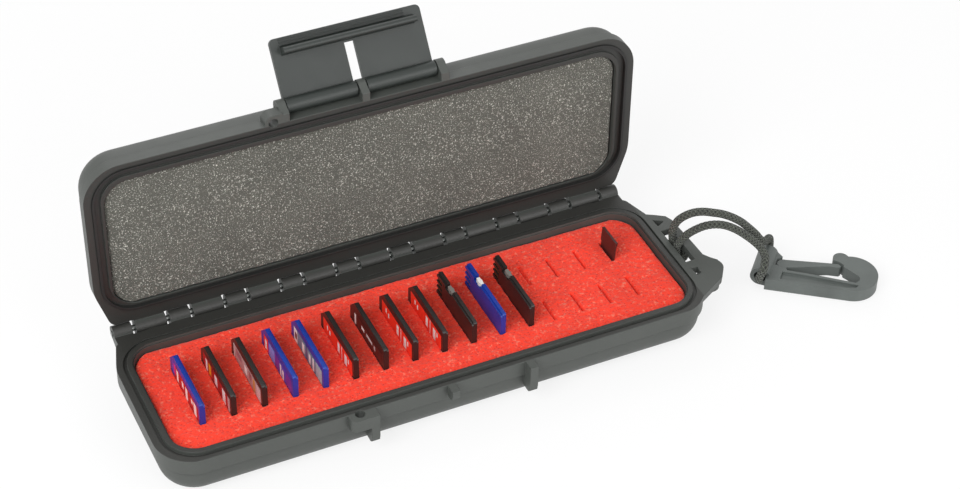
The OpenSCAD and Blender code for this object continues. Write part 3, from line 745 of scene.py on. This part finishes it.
DARK_RED, BRIGHT_RED, MAGENTA = (0.66, 0.07, 0.11), (0.98, 0.2, 0.12), (0.78, 0.12, 0.5)
YELLOW, TAN, PINK = (0.9, 0.66, 0.12), (0.8, 0.6, 0.3), (0.72, 0.6, 0.6)
PALE_PINK, DUSK, DARK_DUSK = (0.82, 0.74, 0.74), (0.6, 0.42, 0.46), (0.55, 0.4, 0.42)
SKY, BLUE, PURPLE = (0.42, 0.56, 0.9), (0.14, 0.26, 0.72), (0.36, 0.18, 0.6)
GREY_TEAL, PALE_TEAL, SLATE = (0.36, 0.52, 0.6), (0.62, 0.72, 0.74), (0.2, 0.32, 0.5)
WHITE, LIGHT_GREY, MID_GREY = (0.95, 0.94, 0.93), (0.8, 0.8, 0.8), (0.7, 0.7, 0.7)
WARM_GREY, BROWN_BLACK, INK = (0.5, 0.46, 0.44), (0.2, 0.17, 0.16), (0.1, 0.09, 0.09)

DESIGNS: dict[Print, Design] = {
    Print.RED_WHITE: Design(DARK_RED, (
        (0.0, 1.0, 0.0, 0.07, BLUE),
        (0.0, 0.6, 0.07, 0.13, MAGENTA),
        (0.1, 0.8, 0.17, 0.23, WHITE),
        (0.2, 0.6, 0.36, 0.44, WHITE),
        (0.15, 0.9, 0.5, 0.58, WHITE),
        (0.2, 0.5, 0.72, 0.78, WHITE),
        (0.1, 0.85, 0.82, 0.92, WHITE),
    )),
    Print.YELLOW_RED: Design(DARK_RED, (
        (0.15, 0.85, 0.1, 0.16, WHITE),
        (0.1, 0.8, 0.22, 0.3, YELLOW),
        (0.0, 1.0, 0.36, 0.38, INK),
        (0.15, 0.75, 0.44, 0.54, WHITE),
        (0.0, 1.0, 0.62, 0.64, INK),
        (0.1, 0.9, 0.72, 0.84, WHITE),
        (0.0, 1.0, 0.92, 1.0, PINK),
    )),
    Print.PALE: Design(PINK, (
        (0.0, 1.0, 0.0, 0.04, WHITE),
        (0.1, 0.5, 0.1, 0.3, DUSK),
        (0.2, 0.7, 0.4, 0.5, WHITE),
        (0.1, 0.6, 0.56, 0.66, DARK_DUSK),
        (0.1, 0.9, 0.72, 0.78, TAN),
        (0.1, 0.9, 0.84, 0.96, PALE_PINK),
    )),
    Print.PURPLE: Design(BLUE, (
        (0.0, 1.0, 0.0, 0.16, BRIGHT_RED),
        (0.2, 0.8, 0.05, 0.11, WHITE),
        (0.0, 1.0, 0.2, 0.4, SKY),
        (0.0, 1.0, 0.4, 0.56, PURPLE),
        (0.15, 0.85, 0.58, 0.64, WHITE),
        (0.3, 0.9, 0.67, 0.72, WHITE),
        (0.0, 1.0, 0.8, 1.0, PURPLE),
    )),
    Print.TEAL: Design(GREY_TEAL, (
        (0.05, 0.95, 0.02, 0.14, WHITE),
        (0.3, 0.7, 0.05, 0.11, INK),
        (0.2, 0.8, 0.3, 0.38, WHITE),
        (0.0, 1.0, 0.44, 0.48, SLATE),
        (0.2, 0.8, 0.54, 0.6, WHITE),
        (0.1, 0.9, 0.66, 0.72, WHITE),
        (0.0, 1.0, 0.78, 0.98, PALE_TEAL),
    )),
    Print.RED: Design(BRIGHT_RED, (
        (0.2, 0.5, 0.14, 0.17, WHITE),
        (0.3, 0.6, 0.22, 0.25, WHITE),
        (0.15, 0.75, 0.5, 0.56, WHITE),
        (0.05, 0.95, 0.64, 0.655, WHITE),
        (0.2, 0.85, 0.74, 0.82, WHITE),
        (0.2, 0.5, 0.85, 0.88, WHITE),
    )),
    Print.DARK: Design(INK, (
        (0.15, 0.8, 0.06, 0.12, WHITE),
        (0.0, 1.0, 0.18, 0.19, WHITE),
        (0.3, 0.5, 0.3, 0.4, WHITE),
        (0.3, 0.5, 0.46, 0.66, LIGHT_GREY),
        (0.3, 0.6, 0.72, 0.76, MID_GREY),
    )),
    Print.PLAIN: Design(BROWN_BLACK, ((0.4, 0.46, 0.15, 0.7, WARM_GREY),)),
}
CARD_PRINTS = (Print.RED_WHITE, Print.YELLOW_RED, Print.PALE, Print.PURPLE, Print.TEAL, Print.RED,
               Print.DARK, Print.RED, Print.RED, Print.PLAIN, Print.TEAL, Print.PLAIN)
BLUE_CARDS = (1, 4, 5, 11)
WHITE_TAB_CARD = 11
FIRST_SLIT_X, SLIT_COLUMNS = 50.5, 4


def softened_modifier(piece: bpy.types.Object, degrees: float = 32) -> None:
    """Shade a loose CAD mesh smooth, with creases kept, by a small node modifier.

    The modifier merges the doubled vertices, smooths every face, and marks as sharp each edge
    whose faces meet at more than the given angle. The mesh itself isn't changed.

    Args:
        piece: the CAD node's object.
        degrees: the angle from which an edge stays sharp.
    """
    name = f"smooth_by_{int(degrees)}"
    tree = bpy.data.node_groups.get(name)
    if tree is None:
        tree = bpy.data.node_groups.new(name, "GeometryNodeTree")
        tree.interface.new_socket("Geometry", in_out="INPUT", socket_type="NodeSocketGeometry")
        tree.interface.new_socket("Geometry", in_out="OUTPUT", socket_type="NodeSocketGeometry")
        start, end = tree.nodes.new("NodeGroupInput"), tree.nodes.new("NodeGroupOutput")
        merge = tree.nodes.new("GeometryNodeMergeByDistance")
        merge.inputs["Distance"].default_value = 0.002 * MM
        faces = tree.nodes.new("GeometryNodeSetShadeSmooth")
        faces.domain = "FACE"
        creases = tree.nodes.new("GeometryNodeSetShadeSmooth")
        creases.domain = "EDGE"
        creases.inputs["Shade Smooth"].default_value = False
        angle = tree.nodes.new("GeometryNodeInputMeshEdgeAngle")
        test = tree.nodes.new("FunctionNodeCompare")
        test.data_type, test.operation = "FLOAT", "GREATER_THAN"
        test.inputs["B"].default_value = math.radians(degrees)
        for a, b in (
            (start.outputs[0], merge.inputs["Geometry"]),
            (merge.outputs["Geometry"], faces.inputs["Geometry"]),
            (faces.outputs["Geometry"], creases.inputs["Geometry"]),
            (angle.outputs["Unsigned Angle"], test.inputs["A"]),
            (test.outputs["Result"], creases.inputs["Selection"]),
            (creases.outputs["Geometry"], end.inputs[0]),
        ):
            tree.links.new(a, b)
    modifier = piece.modifiers.new("smooth_shading", "NODES")
    modifier.node_group = tree


@dataclass
class Shells:
    """The shells, seal, latch, pins, snap hook and small card, which keep their CAD form."""

    frame: dict
    finishes: dict[str, Finish] = field(default_factory=lambda: {
        "base_shell": BASE, "lid_shell": LID, "lid_gasket": SEAL, "latch": LATCH,
        "hinge_pin": STEEL, "latch_pin": STEEL, "snap_hook_body": HOOK, "snap_gate": HOOK,
        "micro_sd_card": SMALL_CARD})

    def dress(self) -> None:
        """Give each node its finish and smooth shading."""
        made: dict[str, bpy.types.Material] = {}
        for name, finish in self.finishes.items():
            if finish.name not in made:
                made[finish.name] = finish.make()
            dress_node(self.frame["nodes"][name], made[finish.name])


def dress_node(piece: bpy.types.Object, material: bpy.types.Material) -> None:
    """Replace a CAD node's material and shade it smooth.

    Args:
        piece: the CAD node's object.
        material: its new material.
    """
    piece.data.materials.clear()
    piece.data.materials.append(material)
    softened_modifier(piece)
    log.info("dressed %s with %s", piece.name, material.name)


@dataclass
class FoamBlock:
    """A foam block with a torn, porous face, cut by straight slits, with every size in millimetres.

    The face is a grid in X and Y. Its outer columns are drawn in towards the rounded corners, its
    height falls at the rim and inside each slit, and its outer row runs down to a flat back. A slit
    is its low and high X and its low and high Y. Each tear is the pitch and height of one noise.
    """

    name: str
    length: float
    y_low: float
    y_high: float
    corner: float
    back: float
    face: float
    seed: int
    slits: list[tuple[float, float, float, float]] = field(default_factory=list)
    step: float = 0.6
    rim: float = 1.1
    drawn_in: float = 1.5
    tears: tuple[tuple[float, float], ...] = ((1.1, 0.14), (2.3, 0.1), (12.0, 0.16))
    slit_depth: float = 5.0
    slit_lines: tuple[float, ...] = (0.28, 0.0, -0.1)
    line_gap: float = 0.22
    lip: float = 0.16
    lip_reach: float = 0.7
    lip_from: float = 0.02
    open_from: float = -0.05
    skirt_rows: int = 4

    def lines(self, low: float, high: float, edges: list[tuple[float, float]]) -> Array:
        """Grid lines at an even step, with a close group at each slit's edge.

        Args:
            low: the first line, in millimetres.
            high: the last line.
            edges: the low and high edge of each slit.

        Returns:
            The sorted lines.
        """
        even = np.linspace(low, high, int((high - low) / self.step) + 1)
        close = np.array([edge + way * out for pair in edges for edge, way in zip(pair, (-1, 1))
                          for out in self.slit_lines])
        if len(close):
            clear = np.abs(even[:, None] - close[None, :]).min(1) > self.line_gap
            clear[[0, -1]] = True
            even = np.concatenate([even[clear], close])
        return np.unique(np.round(even, 4))

    def plan(self) -> tuple[Array, Array, Array]:
        """Lay the grid out, its outer columns drawn in to the rounded corners.

        Each row ends on the outline, where a corner is a quarter of a circle, and the columns
        beyond a straight inner stretch are moved in by the same share.

        Returns:
            X and Y of each grid point, and how far inside the block's outline it is.
        """
        half = self.length / 2
        xs = self.lines(-half, half, [(a, b) for a, b, _, _ in self.slits])
        ys = self.lines(self.y_low, self.y_high, sorted({(c, d) for _, _, c, d in self.slits}))
        x, y = np.meshgrid(xs, ys)
        mid, reach = (self.y_low + self.y_high) / 2, (self.y_high - self.y_low) / 2
        over = np.clip(np.abs(y - mid) - (reach - self.corner), 0, self.corner)
        x_end = half - self.corner + np.sqrt(self.corner**2 - over**2)
        inner = half - self.corner - self.drawn_in
        drawn = inner + (np.abs(x) - inner) * (x_end - inner) / (half - inner)
        x = np.where(np.abs(x) > inner, np.sign(x) * drawn, x)
        return x, y, np.minimum(x_end - np.abs(x), reach - np.abs(y - mid))

    def heights(self, x: Array, y: Array, inside: Array) -> Array:
        """Work out the height of the torn face, rounded at its rim and open in each slit.

        It is the face's height with every tear's noise added. Within the rim a quarter of a circle
        is taken off, beside a slit a bell-shaped lip is added, and in it lies a flat floor.

        Args:
            x: the X of each grid point.
            y: the Y of each grid point.
            inside: how far inside the outline it is.

        Returns:
            The height of each grid point.
        """
        at = np.stack([x, y], -1) * MM
        z = np.full(x.shape, self.face)
        for k, (pitch, height) in enumerate(self.tears):
            z += height * value_noise(at, pitch * MM, self.seed + k)
        drop = np.clip(self.rim - inside, 0, self.rim)
        z -= self.rim - np.sqrt(np.maximum(self.rim**2 - drop**2, 0))
        for a, b, c, d in self.slits:
            away = np.maximum(np.maximum(a - x, x - b), np.maximum(c - y, y - d))
            z += np.where(away > self.lip_from, self.lip * np.exp(-((away / self.lip_reach) ** 2)), 0)
            z = np.where(away < self.open_from, self.face - self.slit_depth, z)
        return z

    def build(self) -> bpy.types.Object:
        """Build the block, lying with its face up.

        The grid's outer row goes down to the back in even steps, and one flat face closes it.

        Returns:
            The block, in metres.
        """
        x, y, inside = self.plan()
        rows, columns = x.shape
        top = np.stack([x, y, self.heights(x, y, inside)], -1).reshape(-1, 3)
        number = np.arange(rows * columns).reshape(rows, columns)
        loop = np.concatenate([number[0, :-1], number[:-1, -1], number[-1, :0:-1], number[:0:-1, 0]])
        ring, count = top[loop], len(loop)
        down = np.linspace(0, 1, self.skirt_rows + 1)[1:, None]
        skirt = [np.column_stack([ring[:, :2], ring[:, 2] * (1 - h) + self.back * h]) for h in down]
        faces = grid_faces(rows, columns).tolist()
        rings = [loop] + [np.arange(count) + rows * columns + k * count for k in range(len(skirt))]
        for upper, lower in zip(rings[:-1], rings[1:]):
            faces += np.stack([upper, lower, np.roll(lower, -1), np.roll(upper, -1)], -1).tolist()
        faces.append(rings[-1][::-1].tolist())
        return mesh_piece(self.name, np.vstack([top, *skirt]) * MM, faces)


@dataclass
class Foams:
    """The red bed with its slots and slits, and the lid's grey lining, with sizes in millimetres."""

    card_x: Array
    small_x: Array
    bed_face: float = 16.7
    bed_corner: float = 9.6
    slot_half: float = 1.12
    slot_ends: tuple[float, float] = (-15.5, 16.7)
    slit_half: float = 0.65
    slit_reach: float = 5.7
    slit_rows: tuple[float, float] = (11.1, -10.4)
    lining_length: float = 204.8
    lining_y: tuple[float, float] = (-27.2, 30.5)
    lining_face: float = 20.65
    lining_back: float = 33.85
    lining_corner: float = 9.8
    pivot: tuple[float, float, float] = (0.0, 40.9, 18.9)
    lid_angle: float = -91.0

    def bed(self) -> bpy.types.Object:
        """Build the red bed, with a tight slot round each card and the small empty slits.

        Returns:
            The bed, in place of its hidden CAD node.
        """
        low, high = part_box("card_foam")
        slits = [(x - self.slot_half, x + self.slot_half, *self.slot_ends) for x in self.card_x]
        slits += [(x - self.slit_half, x + self.slit_half, y - self.slit_reach, y + self.slit_reach)
                  for x in self.small_x for y in self.slit_rows]
        block = FoamBlock("red_foam_bed", (high.x - low.x) / MM, low.y / MM, high.y / MM, self.bed_corner,
                          back=low.z / MM, face=self.bed_face, seed=5, slits=slits)
        piece = block.build()
        piece.data.materials.append(RED_FOAM.make())
        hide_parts("card_foam")
        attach(piece, "base")
        return piece

    def lining(self) -> bpy.types.Object:
        """Build the grey lining, flat in the closed lid and turned open with it.

        Returns:
            The lining, in place of its hidden CAD node.
        """
        back = self.lining_back
        block = FoamBlock("grey_lid_foam", self.lining_length, *self.lining_y, self.lining_corner,
                          back=0.0, face=back - self.lining_face, seed=11)
        piece = block.build()
        points = np.array([v.co for v in piece.data.vertices])
        flipped = points * np.array([1, 1, -1]) + np.array([0, 0, back * MM])
        pivot = np.array(self.pivot) * MM
        opened = turned_about_x(flipped, pivot, self.lid_angle)
        piece.data.vertices.foreach_set("co", opened.astype(np.float32).ravel())
        piece.data.flip_normals()
        piece.data.materials.append(GREY_FOAM.make())
        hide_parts("lid_foam")
        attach(piece, "lid")
        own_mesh(piece)
        return piece


@dataclass
class Cards:
    """The twelve full-size cards with their labels, gold contacts and sliders, in millimetres.

    From the card numbered turned_from on, the cards show their contacts and not their labels.
    """

    frame: dict
    card_x: Array
    middle_y: float = 0.6
    middle_z: float = 14.6
    turned_from: int = 10
    thickness: float = 2.1
    label_front: float = -14.6
    label_back: float = 13.6
    label_top: float = 8.8
    label_height: float = 17.6
    label_proud: float = 0.03
    label_sunk: float = 0.02
    label_grid: tuple[int, int] = (97, 61)
    shown: float = 0.42
    pads: int = 7
    pad_pitch: float = 2.5
    pad_size: tuple[float, float, float] = (0.08, 4.2, 1.3)
    first_pad: tuple[float, float] = (11.3, -9.6)
    pad_depth: float = 0.57

    def place(self, points: Array, i: int) -> Array:
        """Carry points from a card's own frame to its place, turned about Y where the card is.

        Args:
            points: points from the card's middle, in millimetres.
            i: the card's number, from 1.

        Returns:
            The points in the row frame, in metres.
        """
        side = 1 if i < self.turned_from else -1
        return (points * np.array([side, 1, side]) + [self.card_x[i - 1], self.middle_y, self.middle_z]) * MM

    def label(self, i: int, material: bpy.types.Material) -> bpy.types.Object:
        """Build one card's label: a thin plate with its design on its faces.

        The front is a grid over the label's width and height, its outer row turned back onto the card.
        Each face takes the colour of the last block of the design that it lies in.

        Args:
            i: the card's number, from 1.
            material: the printed finish.

        Returns:
            The label.
        """
        rows, columns = self.label_grid
        v, u = np.meshgrid(np.linspace(0, 1, rows), np.linspace(0, 1, columns), indexing="ij")
        y = self.label_back - u * (self.label_back - self.label_front)
        z = self.label_top - v * self.label_height
        edge = (u == 0) | (u == 1) | (v == 0) | (v == 1)
        x = np.where(edge, self.label_sunk, -self.label_proud) - self.thickness / 2
        points = self.place(np.stack([x, y, z], -1).reshape(-1, 3), i)
        piece = mesh_piece(f"label_{i:02d}", points, grid_faces(rows, columns)[:, ::-1], smooth=False)
        design = DESIGNS[CARD_PRINTS[i - 1]]
        across, down = (a[:-1, :-1] + 0.5 / (n - 1) for a, n in ((u, columns), (v / self.shown, rows)))
        ink = np.tile(np.array(linear(design.ground)), (rows - 1, columns - 1, 1))
        for top, bottom, rear, front, colour in design.blocks:
            ink[(down > top) & (down < bottom) & (across > rear) & (across < front)] = linear(colour)
        layer = piece.data.attributes.new("ink", "FLOAT_COLOR", "CORNER")
        layer.data.foreach_set("color", np.repeat(ink.reshape(-1, 4), 4, axis=0).astype(np.float32).ravel())
        piece.data.materials.append(material)
        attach(piece, f"card_{i:02d}")
        return piece

    def contacts(self, i: int, material: bpy.types.Material) -> bpy.types.Object:
        """Build the gold pads that lie in a card's contact grooves, as a row of thin boxes.

        Args:
            i: the card's number, from 1.
            material: the gold finish.

        Returns:
            The pads, as one piece.
        """
        thick, long, wide = self.pad_size
        corners = np.array([[0.0, 0.0, 0.0], [0.0, long, 0.0], [0.0, long, wide], [0.0, 0.0, wide]])
        pads, faces = [], []
        for k in range(self.pads):
            first_y, first_z = self.first_pad
            foot = np.array([self.thickness / 2 - self.pad_depth, first_y, first_z + self.pad_pitch * k])
            pads += [corners + foot, corners + foot + [thick, 0, 0]]
            n = 8 * k
            faces += [[n, n + 3, n + 2, n + 1], [n + 4, n + 5, n + 6, n + 7]]
            faces += [[n + a, n + b, n + b + 4, n + a + 4] for a, b in ((0, 1), (1, 2), (2, 3), (3, 0))]
        piece = mesh_piece(f"contacts_{i:02d}", self.place(np.vstack(pads), i), faces, smooth=False)
        piece.data.materials.append(material)
        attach(piece, f"card_{i:02d}")
        return piece

    def build(self) -> None:
        """Dress every card and add its label and contacts."""
        ink, gold = LABEL.make(), GOLD.make()
        black, blue, grey, white = (f.make() for f in (BLACK_CARD, BLUE_CARD, GREY_TAB, WHITE_TAB))
        for i in range(1, len(self.card_x) + 1):
            dress_node(self.frame["nodes"][f"sd_card_{i:02d}"], blue if i in BLUE_CARDS else black)
            dress_node(self.frame["nodes"][f"lock_tab_{i:02d}"], white if i == WHITE_TAB_CARD else grey)
            self.label(i, ink)
            self.contacts(i, gold)
            log.info("card %02d has its label and contacts", i)


@dataclass
class Lanyard:
    """The braided cord, from the knot up through the ear, through the hook's eye and back.

    Its points are in millimetres. The eye is a tube across the hook, which lies turned on the floor.
    """

    frame: dict
    diameter: float = 3.2
    sides: int = 48
    plait: float = 0.1
    end_x: float = 110.0
    eye: tuple[float, float] = (148.0, -7.3)
    eye_z: float = 4.3
    turn: float = -43.0
    near_fold: float = 3.9
    far_fold: float = 3.1
    knot_strand: float = 2.5
    knot_rise: float = 1.7
    curve_steps: int = 20
    knot_steps: int = 241

    def by_hook(self, s: float, k: float, z: float) -> tuple[float, float, float]:
        """Return a point given from the hook's eye: along the tube, along the hook, and up."""
        c, d = math.cos(math.radians(self.turn)), math.sin(math.radians(self.turn))
        return (self.eye[0] + k * c - s * d, self.eye[1] + k * d + s * c, z)

    def folded(self, s: float, radius: float, k: float, degrees: float) -> tuple[float, float, float]:
        """Work out a point of the tight fold at one of the eye's mouths, on half a circle.

        Args:
            s: where the fold starts along the eye's tube.
            radius: the fold's radius, negative at the near mouth.
            k: how far along the hook the cord drifts over the first 150 degrees of the fold.
            degrees: the place on the fold, from -90 in the tube to 90 above it.

        Returns:
            The point.
        """
        a = math.radians(degrees)
        z = self.eye_z + abs(radius) * (1 + math.sin(a))
        return self.by_hook(s + radius * math.cos(a), k * (degrees + 90) / 150, z)

    def route(self) -> Array:
        """Lay out the cord's given points: up from the ear, through the eye, and back.

        Returns:
            The points, in millimetres.
        """
        out = ((2.1, 5.4, 14.6), (2.1, 5.4, 18), (1.8, 5.4, 21.4), (1.8, 5.2, 24.8), (3.1, 4.5, 28.6),
               (5.7, 3.4, 31.2), (8.8, 2.2, 32.6), (12, 0.8, 33), (15.4, -0.5, 32.4), (19, -2, 31.6),
               (22.6, -3.6, 30), (26.2, -4.8, 27.4), (29.6, -5.6, 23.8), (32.8, -6, 20), (35.6, -5.8, 16))
        back = ((32, -15.6, 16), (31.2, -13, 18.8), (29, -11, 21.4), (26, -9.4, 24.2), (22.5, -7.6, 26.9),
                (18.6, -5.7, 28.8), (14.8, -4, 29.3), (11.2, -2.3, 28.4), (8, -0.8, 26.4), (5.4, 0.4, 24),
                (3.5, 1.3, 21.2), (2.2, 1.8, 18), (2.1, 1.8, 14.6))
        shift = np.array([self.end_x, 0, 0])
        far = [self.by_hook(3.8, -1.5, 12.2),
               *(self.folded(7, self.far_fold, -0.9, a) for a in (70, 30, -10, -50))]
        through = [self.by_hook(s, 0, self.eye_z) for s in (7.2, 4.4, 1.6, -1.2, -4, -6.8, -9)]
        near = [*(self.folded(-9.3, -self.near_fold, 0.8, a) for a in (-54, -20)),
                self.by_hook(-13.6, 1.3, 10.4), self.by_hook(-13.2, 1.8, 13.2)]
        return np.vstack([np.array(out) + shift, far, through, near, np.array(back) + shift])

    def tube(self, name: str, path: Array, radius: float, closed: bool) -> bpy.types.Object:
        """Carry a round profile along a path, its radius swelling over each strand of the braid.

        The swelling is the higher of two sine waves that run round the tube in opposite ways.

        Args:
            name: the piece's name.
            path: the centreline, in metres.
            radius: the tube's radius, in metres.
            closed: whether the path joins back to its start, otherwise its ends get caps.

        Returns:
            The tube, with a UV map of turns by metres.
        """
        up, side = carried_frames(path)
        run = np.concatenate([[0], np.cumsum(np.linalg.norm(np.diff(path, axis=0), axis=1))])
        if closed:
            slip = math.atan2(float(up[0] @ side[-1]), float(up[0] @ up[-1])) * run / run[-1]
            c, d = np.cos(slip)[:, None], np.sin(slip)[:, None]
            up, side = up * c + side * d, side * c - up * d
        along, around = np.meshgrid(run, np.linspace(0, 1, self.sides + 1), indexing="ij")
        about, ahead = BRAID.turns * math.tau * around, along * math.tau / BRAID.pitch
        wave = np.maximum(np.sin(about + ahead), np.sin(about - ahead))
        r = radius * (1 - self.plait * (1 - wave) / 2)
        angle = (math.tau * around)[..., None]
        ring = np.cos(angle) * up[:, None] + np.sin(angle) * side[:, None]
        points = path[:, None] + r[..., None] * ring
        rows, columns = along.shape
        faces = grid_faces(rows, columns)[:, ::-1].tolist()
        if not closed:
            last = (rows - 1) * columns
            faces += [list(range(columns)), list(range(last + columns - 1, last - 1, -1))]
        piece = mesh_piece(name, points.reshape(-1, 3), faces)
        set_uv(piece, np.stack([around, along], -1))
        work = bmesh.new()
        work.from_mesh(piece.data)
        bmesh.ops.remove_doubles(work, verts=work.verts, dist=0.001 * MM)
        bmesh.ops.recalc_face_normals(work, faces=work.faces)
        work.to_mesh(piece.data)
        work.free()
        return piece

    def knot_path(self) -> Array:
        """Work out the closed line of the overhand knot that fills its node's box.

        The line goes round the middle twice while its distance from it and its height each go
        through three waves.

        Returns:
            The points of the line, in metres.
        """
        low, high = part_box("lanyard_knot")
        centre, reach = np.array((low + high) / 2), (high.x - low.x) / 2
        wide = (reach - self.knot_strand / 2 * MM) / 3
        s = np.linspace(0, 1, self.knot_steps) * math.tau
        out = 2 + np.cos(3 * s)
        line = np.stack([out * np.cos(2 * s), out * np.sin(2 * s), self.knot_rise * np.sin(3 * s)], -1)
        return centre + line * wide

    def build(self) -> bpy.types.Object:
        """Returns:
            The cord.
        """
        path = smooth_curve(self.route() * MM, self.curve_steps)
        material = BRAID.make()
        cord = self.tube("braided_cord", path, self.diameter / 2 * MM, closed=False)
        knot = self.tube("cord_knot", self.knot_path(), self.knot_strand / 2 * MM, closed=True)
        for piece, node in ((cord, "lanyard_cord"), (knot, "lanyard_knot")):
            piece.data.materials.append(material)
            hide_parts(node)
            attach(piece, "base")
        return cord


@dataclass
class Studio:
    """The camera, the lamps, the pale floor and the white surroundings."""

    place: tuple[float, float, float] = (-0.2622, -0.5915, 0.6099)
    azimuth: float = 25.955
    elevation: float = 40.413
    roll: float = 1.536
    lens: float = 87.83
    sensor: float = 36.0
    aim: tuple[float, float, float] = (0.0, 0.0, 0.03)
    daylight: float = 0.62
    paper: float = 0.86
    paper_white: float = 0.8
    floor_half: float = 4.0
    floor_z: float = -0.4 * MM

    def camera(self) -> None:
        """Set the camera where the photograph was taken from, turned by azimuth, elevation and roll."""
        az, el, tilt = (math.radians(a) for a in (self.azimuth, self.elevation, self.roll))
        ahead = Vector((math.sin(az) * math.cos(el), math.cos(az) * math.cos(el), -math.sin(el)))
        level = Vector((math.cos(az), -math.sin(az), 0))
        up = level.cross(ahead)
        right = math.cos(tilt) * level + math.sin(tilt) * up
        over = math.cos(tilt) * up - math.sin(tilt) * level
        data = bpy.data.cameras.new("camera")
        data.lens, data.sensor_width, data.sensor_fit = self.lens, self.sensor, "HORIZONTAL"
        camera = bpy.data.objects.new("camera", data)
        turn = Matrix((right, over, -ahead)).transposed().to_4x4()
        camera.matrix_world = Matrix.Translation(self.place) @ turn
        bpy.context.scene.collection.objects.link(camera)
        bpy.context.scene.camera = camera

    def lamp(self, name: str, at: tuple[float, float, float], size: float, power: float) -> None:
        """Add a square area lamp that faces the case.

        Args:
            name: the lamp's name.
            at: its place, in metres.
            size: its side, in metres.
            power: its power, in watts.
        """
        data = bpy.data.lights.new(name, "AREA")
        data.size, data.energy = size, power
        lamp = bpy.data.objects.new(name, data)
        lamp.location = at
        lamp.rotation_mode = "QUATERNION"
        lamp.rotation_quaternion = (Vector(self.aim) - Vector(at)).to_track_quat("-Z", "Y")
        bpy.context.scene.collection.objects.link(lamp)

    @staticmethod
    def white_to_rays(tree: bpy.types.NodeTree, plain: Socket, share: float) -> Socket:
        """Mix a shader with plain white for camera, glossy and transmission rays.

        Args:
            tree: the node tree to add to.
            plain: the shader that lights the scene.
            share: how much of the white such rays see.

        Returns:
            The mixed shader.
        """
        rays = tree.nodes.new("ShaderNodeLightPath")
        seen = rays.outputs["Is Camera Ray"]
        for name in ("Is Glossy Ray", "Is Transmission Ray"):
            most = tree.nodes.new("ShaderNodeMath")
            most.operation = "MAXIMUM"
            tree.links.new(seen, most.inputs[0])
            tree.links.new(rays.outputs[name], most.inputs[1])
            seen = most.outputs[0]
        part = tree.nodes.new("ShaderNodeMath")
        part.operation = "MULTIPLY"
        part.inputs[1].default_value = share
        tree.links.new(seen, part.inputs[0])
        kind = "Background" if plain.node.type == "BACKGROUND" else "Emission"
        white = tree.nodes.new(f"ShaderNode{kind}")
        white.inputs[0].default_value, white.inputs[1].default_value = (1, 1, 1, 1), 1.0
        mix = tree.nodes.new("ShaderNodeMixShader")
        tree.links.new(part.outputs[0], mix.inputs[0])
        tree.links.new(plain, mix.inputs[1])
        tree.links.new(white.outputs[0], mix.inputs[2])
        return mix.outputs[0]

    def surroundings(self) -> None:
        """Make the world, which lights the scene softly and looks white."""
        world = bpy.data.worlds.new("surroundings")
        world.use_nodes = True
        bpy.context.scene.world = world
        tree = world.node_tree
        back = next(n for n in tree.nodes if n.type == "BACKGROUND")
        back.inputs[0].default_value, back.inputs[1].default_value = (1, 1, 1, 1), self.daylight
        out = next(n for n in tree.nodes if n.type == "OUTPUT_WORLD")
        tree.links.new(self.white_to_rays(tree, back.outputs[0], 1.0), out.inputs["Surface"])

    def floor(self) -> None:
        """Make the paper that the case stands on."""
        corners = [(x * self.floor_half, y * self.floor_half, self.floor_z)
                   for x, y in ((-1, -1), (1, -1), (1, 1), (-1, 1))]
        floor = mesh_piece("floor", np.array(corners), [[0, 1, 2, 3]], smooth=False)
        paper = bpy.data.materials.new("floor_paper")
        paper.use_nodes = True
        tree = paper.node_tree
        shader = next(n for n in tree.nodes if n.type == "BSDF_PRINCIPLED")
        shader.inputs["Base Color"].default_value = (self.paper, self.paper, self.paper, 1)
        shader.inputs["Roughness"].default_value = 0.9
        out = next(n for n in tree.nodes if n.type == "OUTPUT_MATERIAL")
        tree.links.new(self.white_to_rays(tree, shader.outputs[0], self.paper_white), out.inputs["Surface"])
        floor.data.materials.append(paper)

    def build(self) -> None:
        """Make the camera, lamps, world and floor."""
        self.camera()
        self.lamp("key", (-0.75, -0.45, 0.8), size=0.7, power=9.5)
        self.lamp("fill", (0.45, -0.95, 0.4), size=0.8, power=5.0)
        self.lamp("rear", (0.1, 0.9, 0.8), size=0.8, power=2.2)
        self.surroundings()
        self.floor()
        bpy.context.scene.view_settings.view_transform = "Standard"


def card_middles() -> Array:
    """Return the X of each full-size card's middle, in millimetres, as the frame has it."""
    boxes = [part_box(f"sd_card_{i:02d}") for i in range(1, len(CARD_PRINTS) + 1)]
    return np.array([round((low.x + high.x) / 2 / MM, 2) for low, high in boxes])


def main() -> None:
    """Load the frame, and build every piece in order."""
    logging.basicConfig(level=logging.INFO, format="%(name)s: %(message)s")
    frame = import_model()
    card_x = card_middles()
    small_x = FIRST_SLIT_X + (card_x[1] - card_x[0]) * np.arange(SLIT_COLUMNS)
    Studio().build()
    Lanyard(frame).build()
    Shells(frame).dress()
    foams = Foams(card_x, small_x)
    log.info("made %s and %s", foams.bed().name, foams.lining().name)
    Cards(frame, card_x).build()


if __name__ == "__main__":
    main()
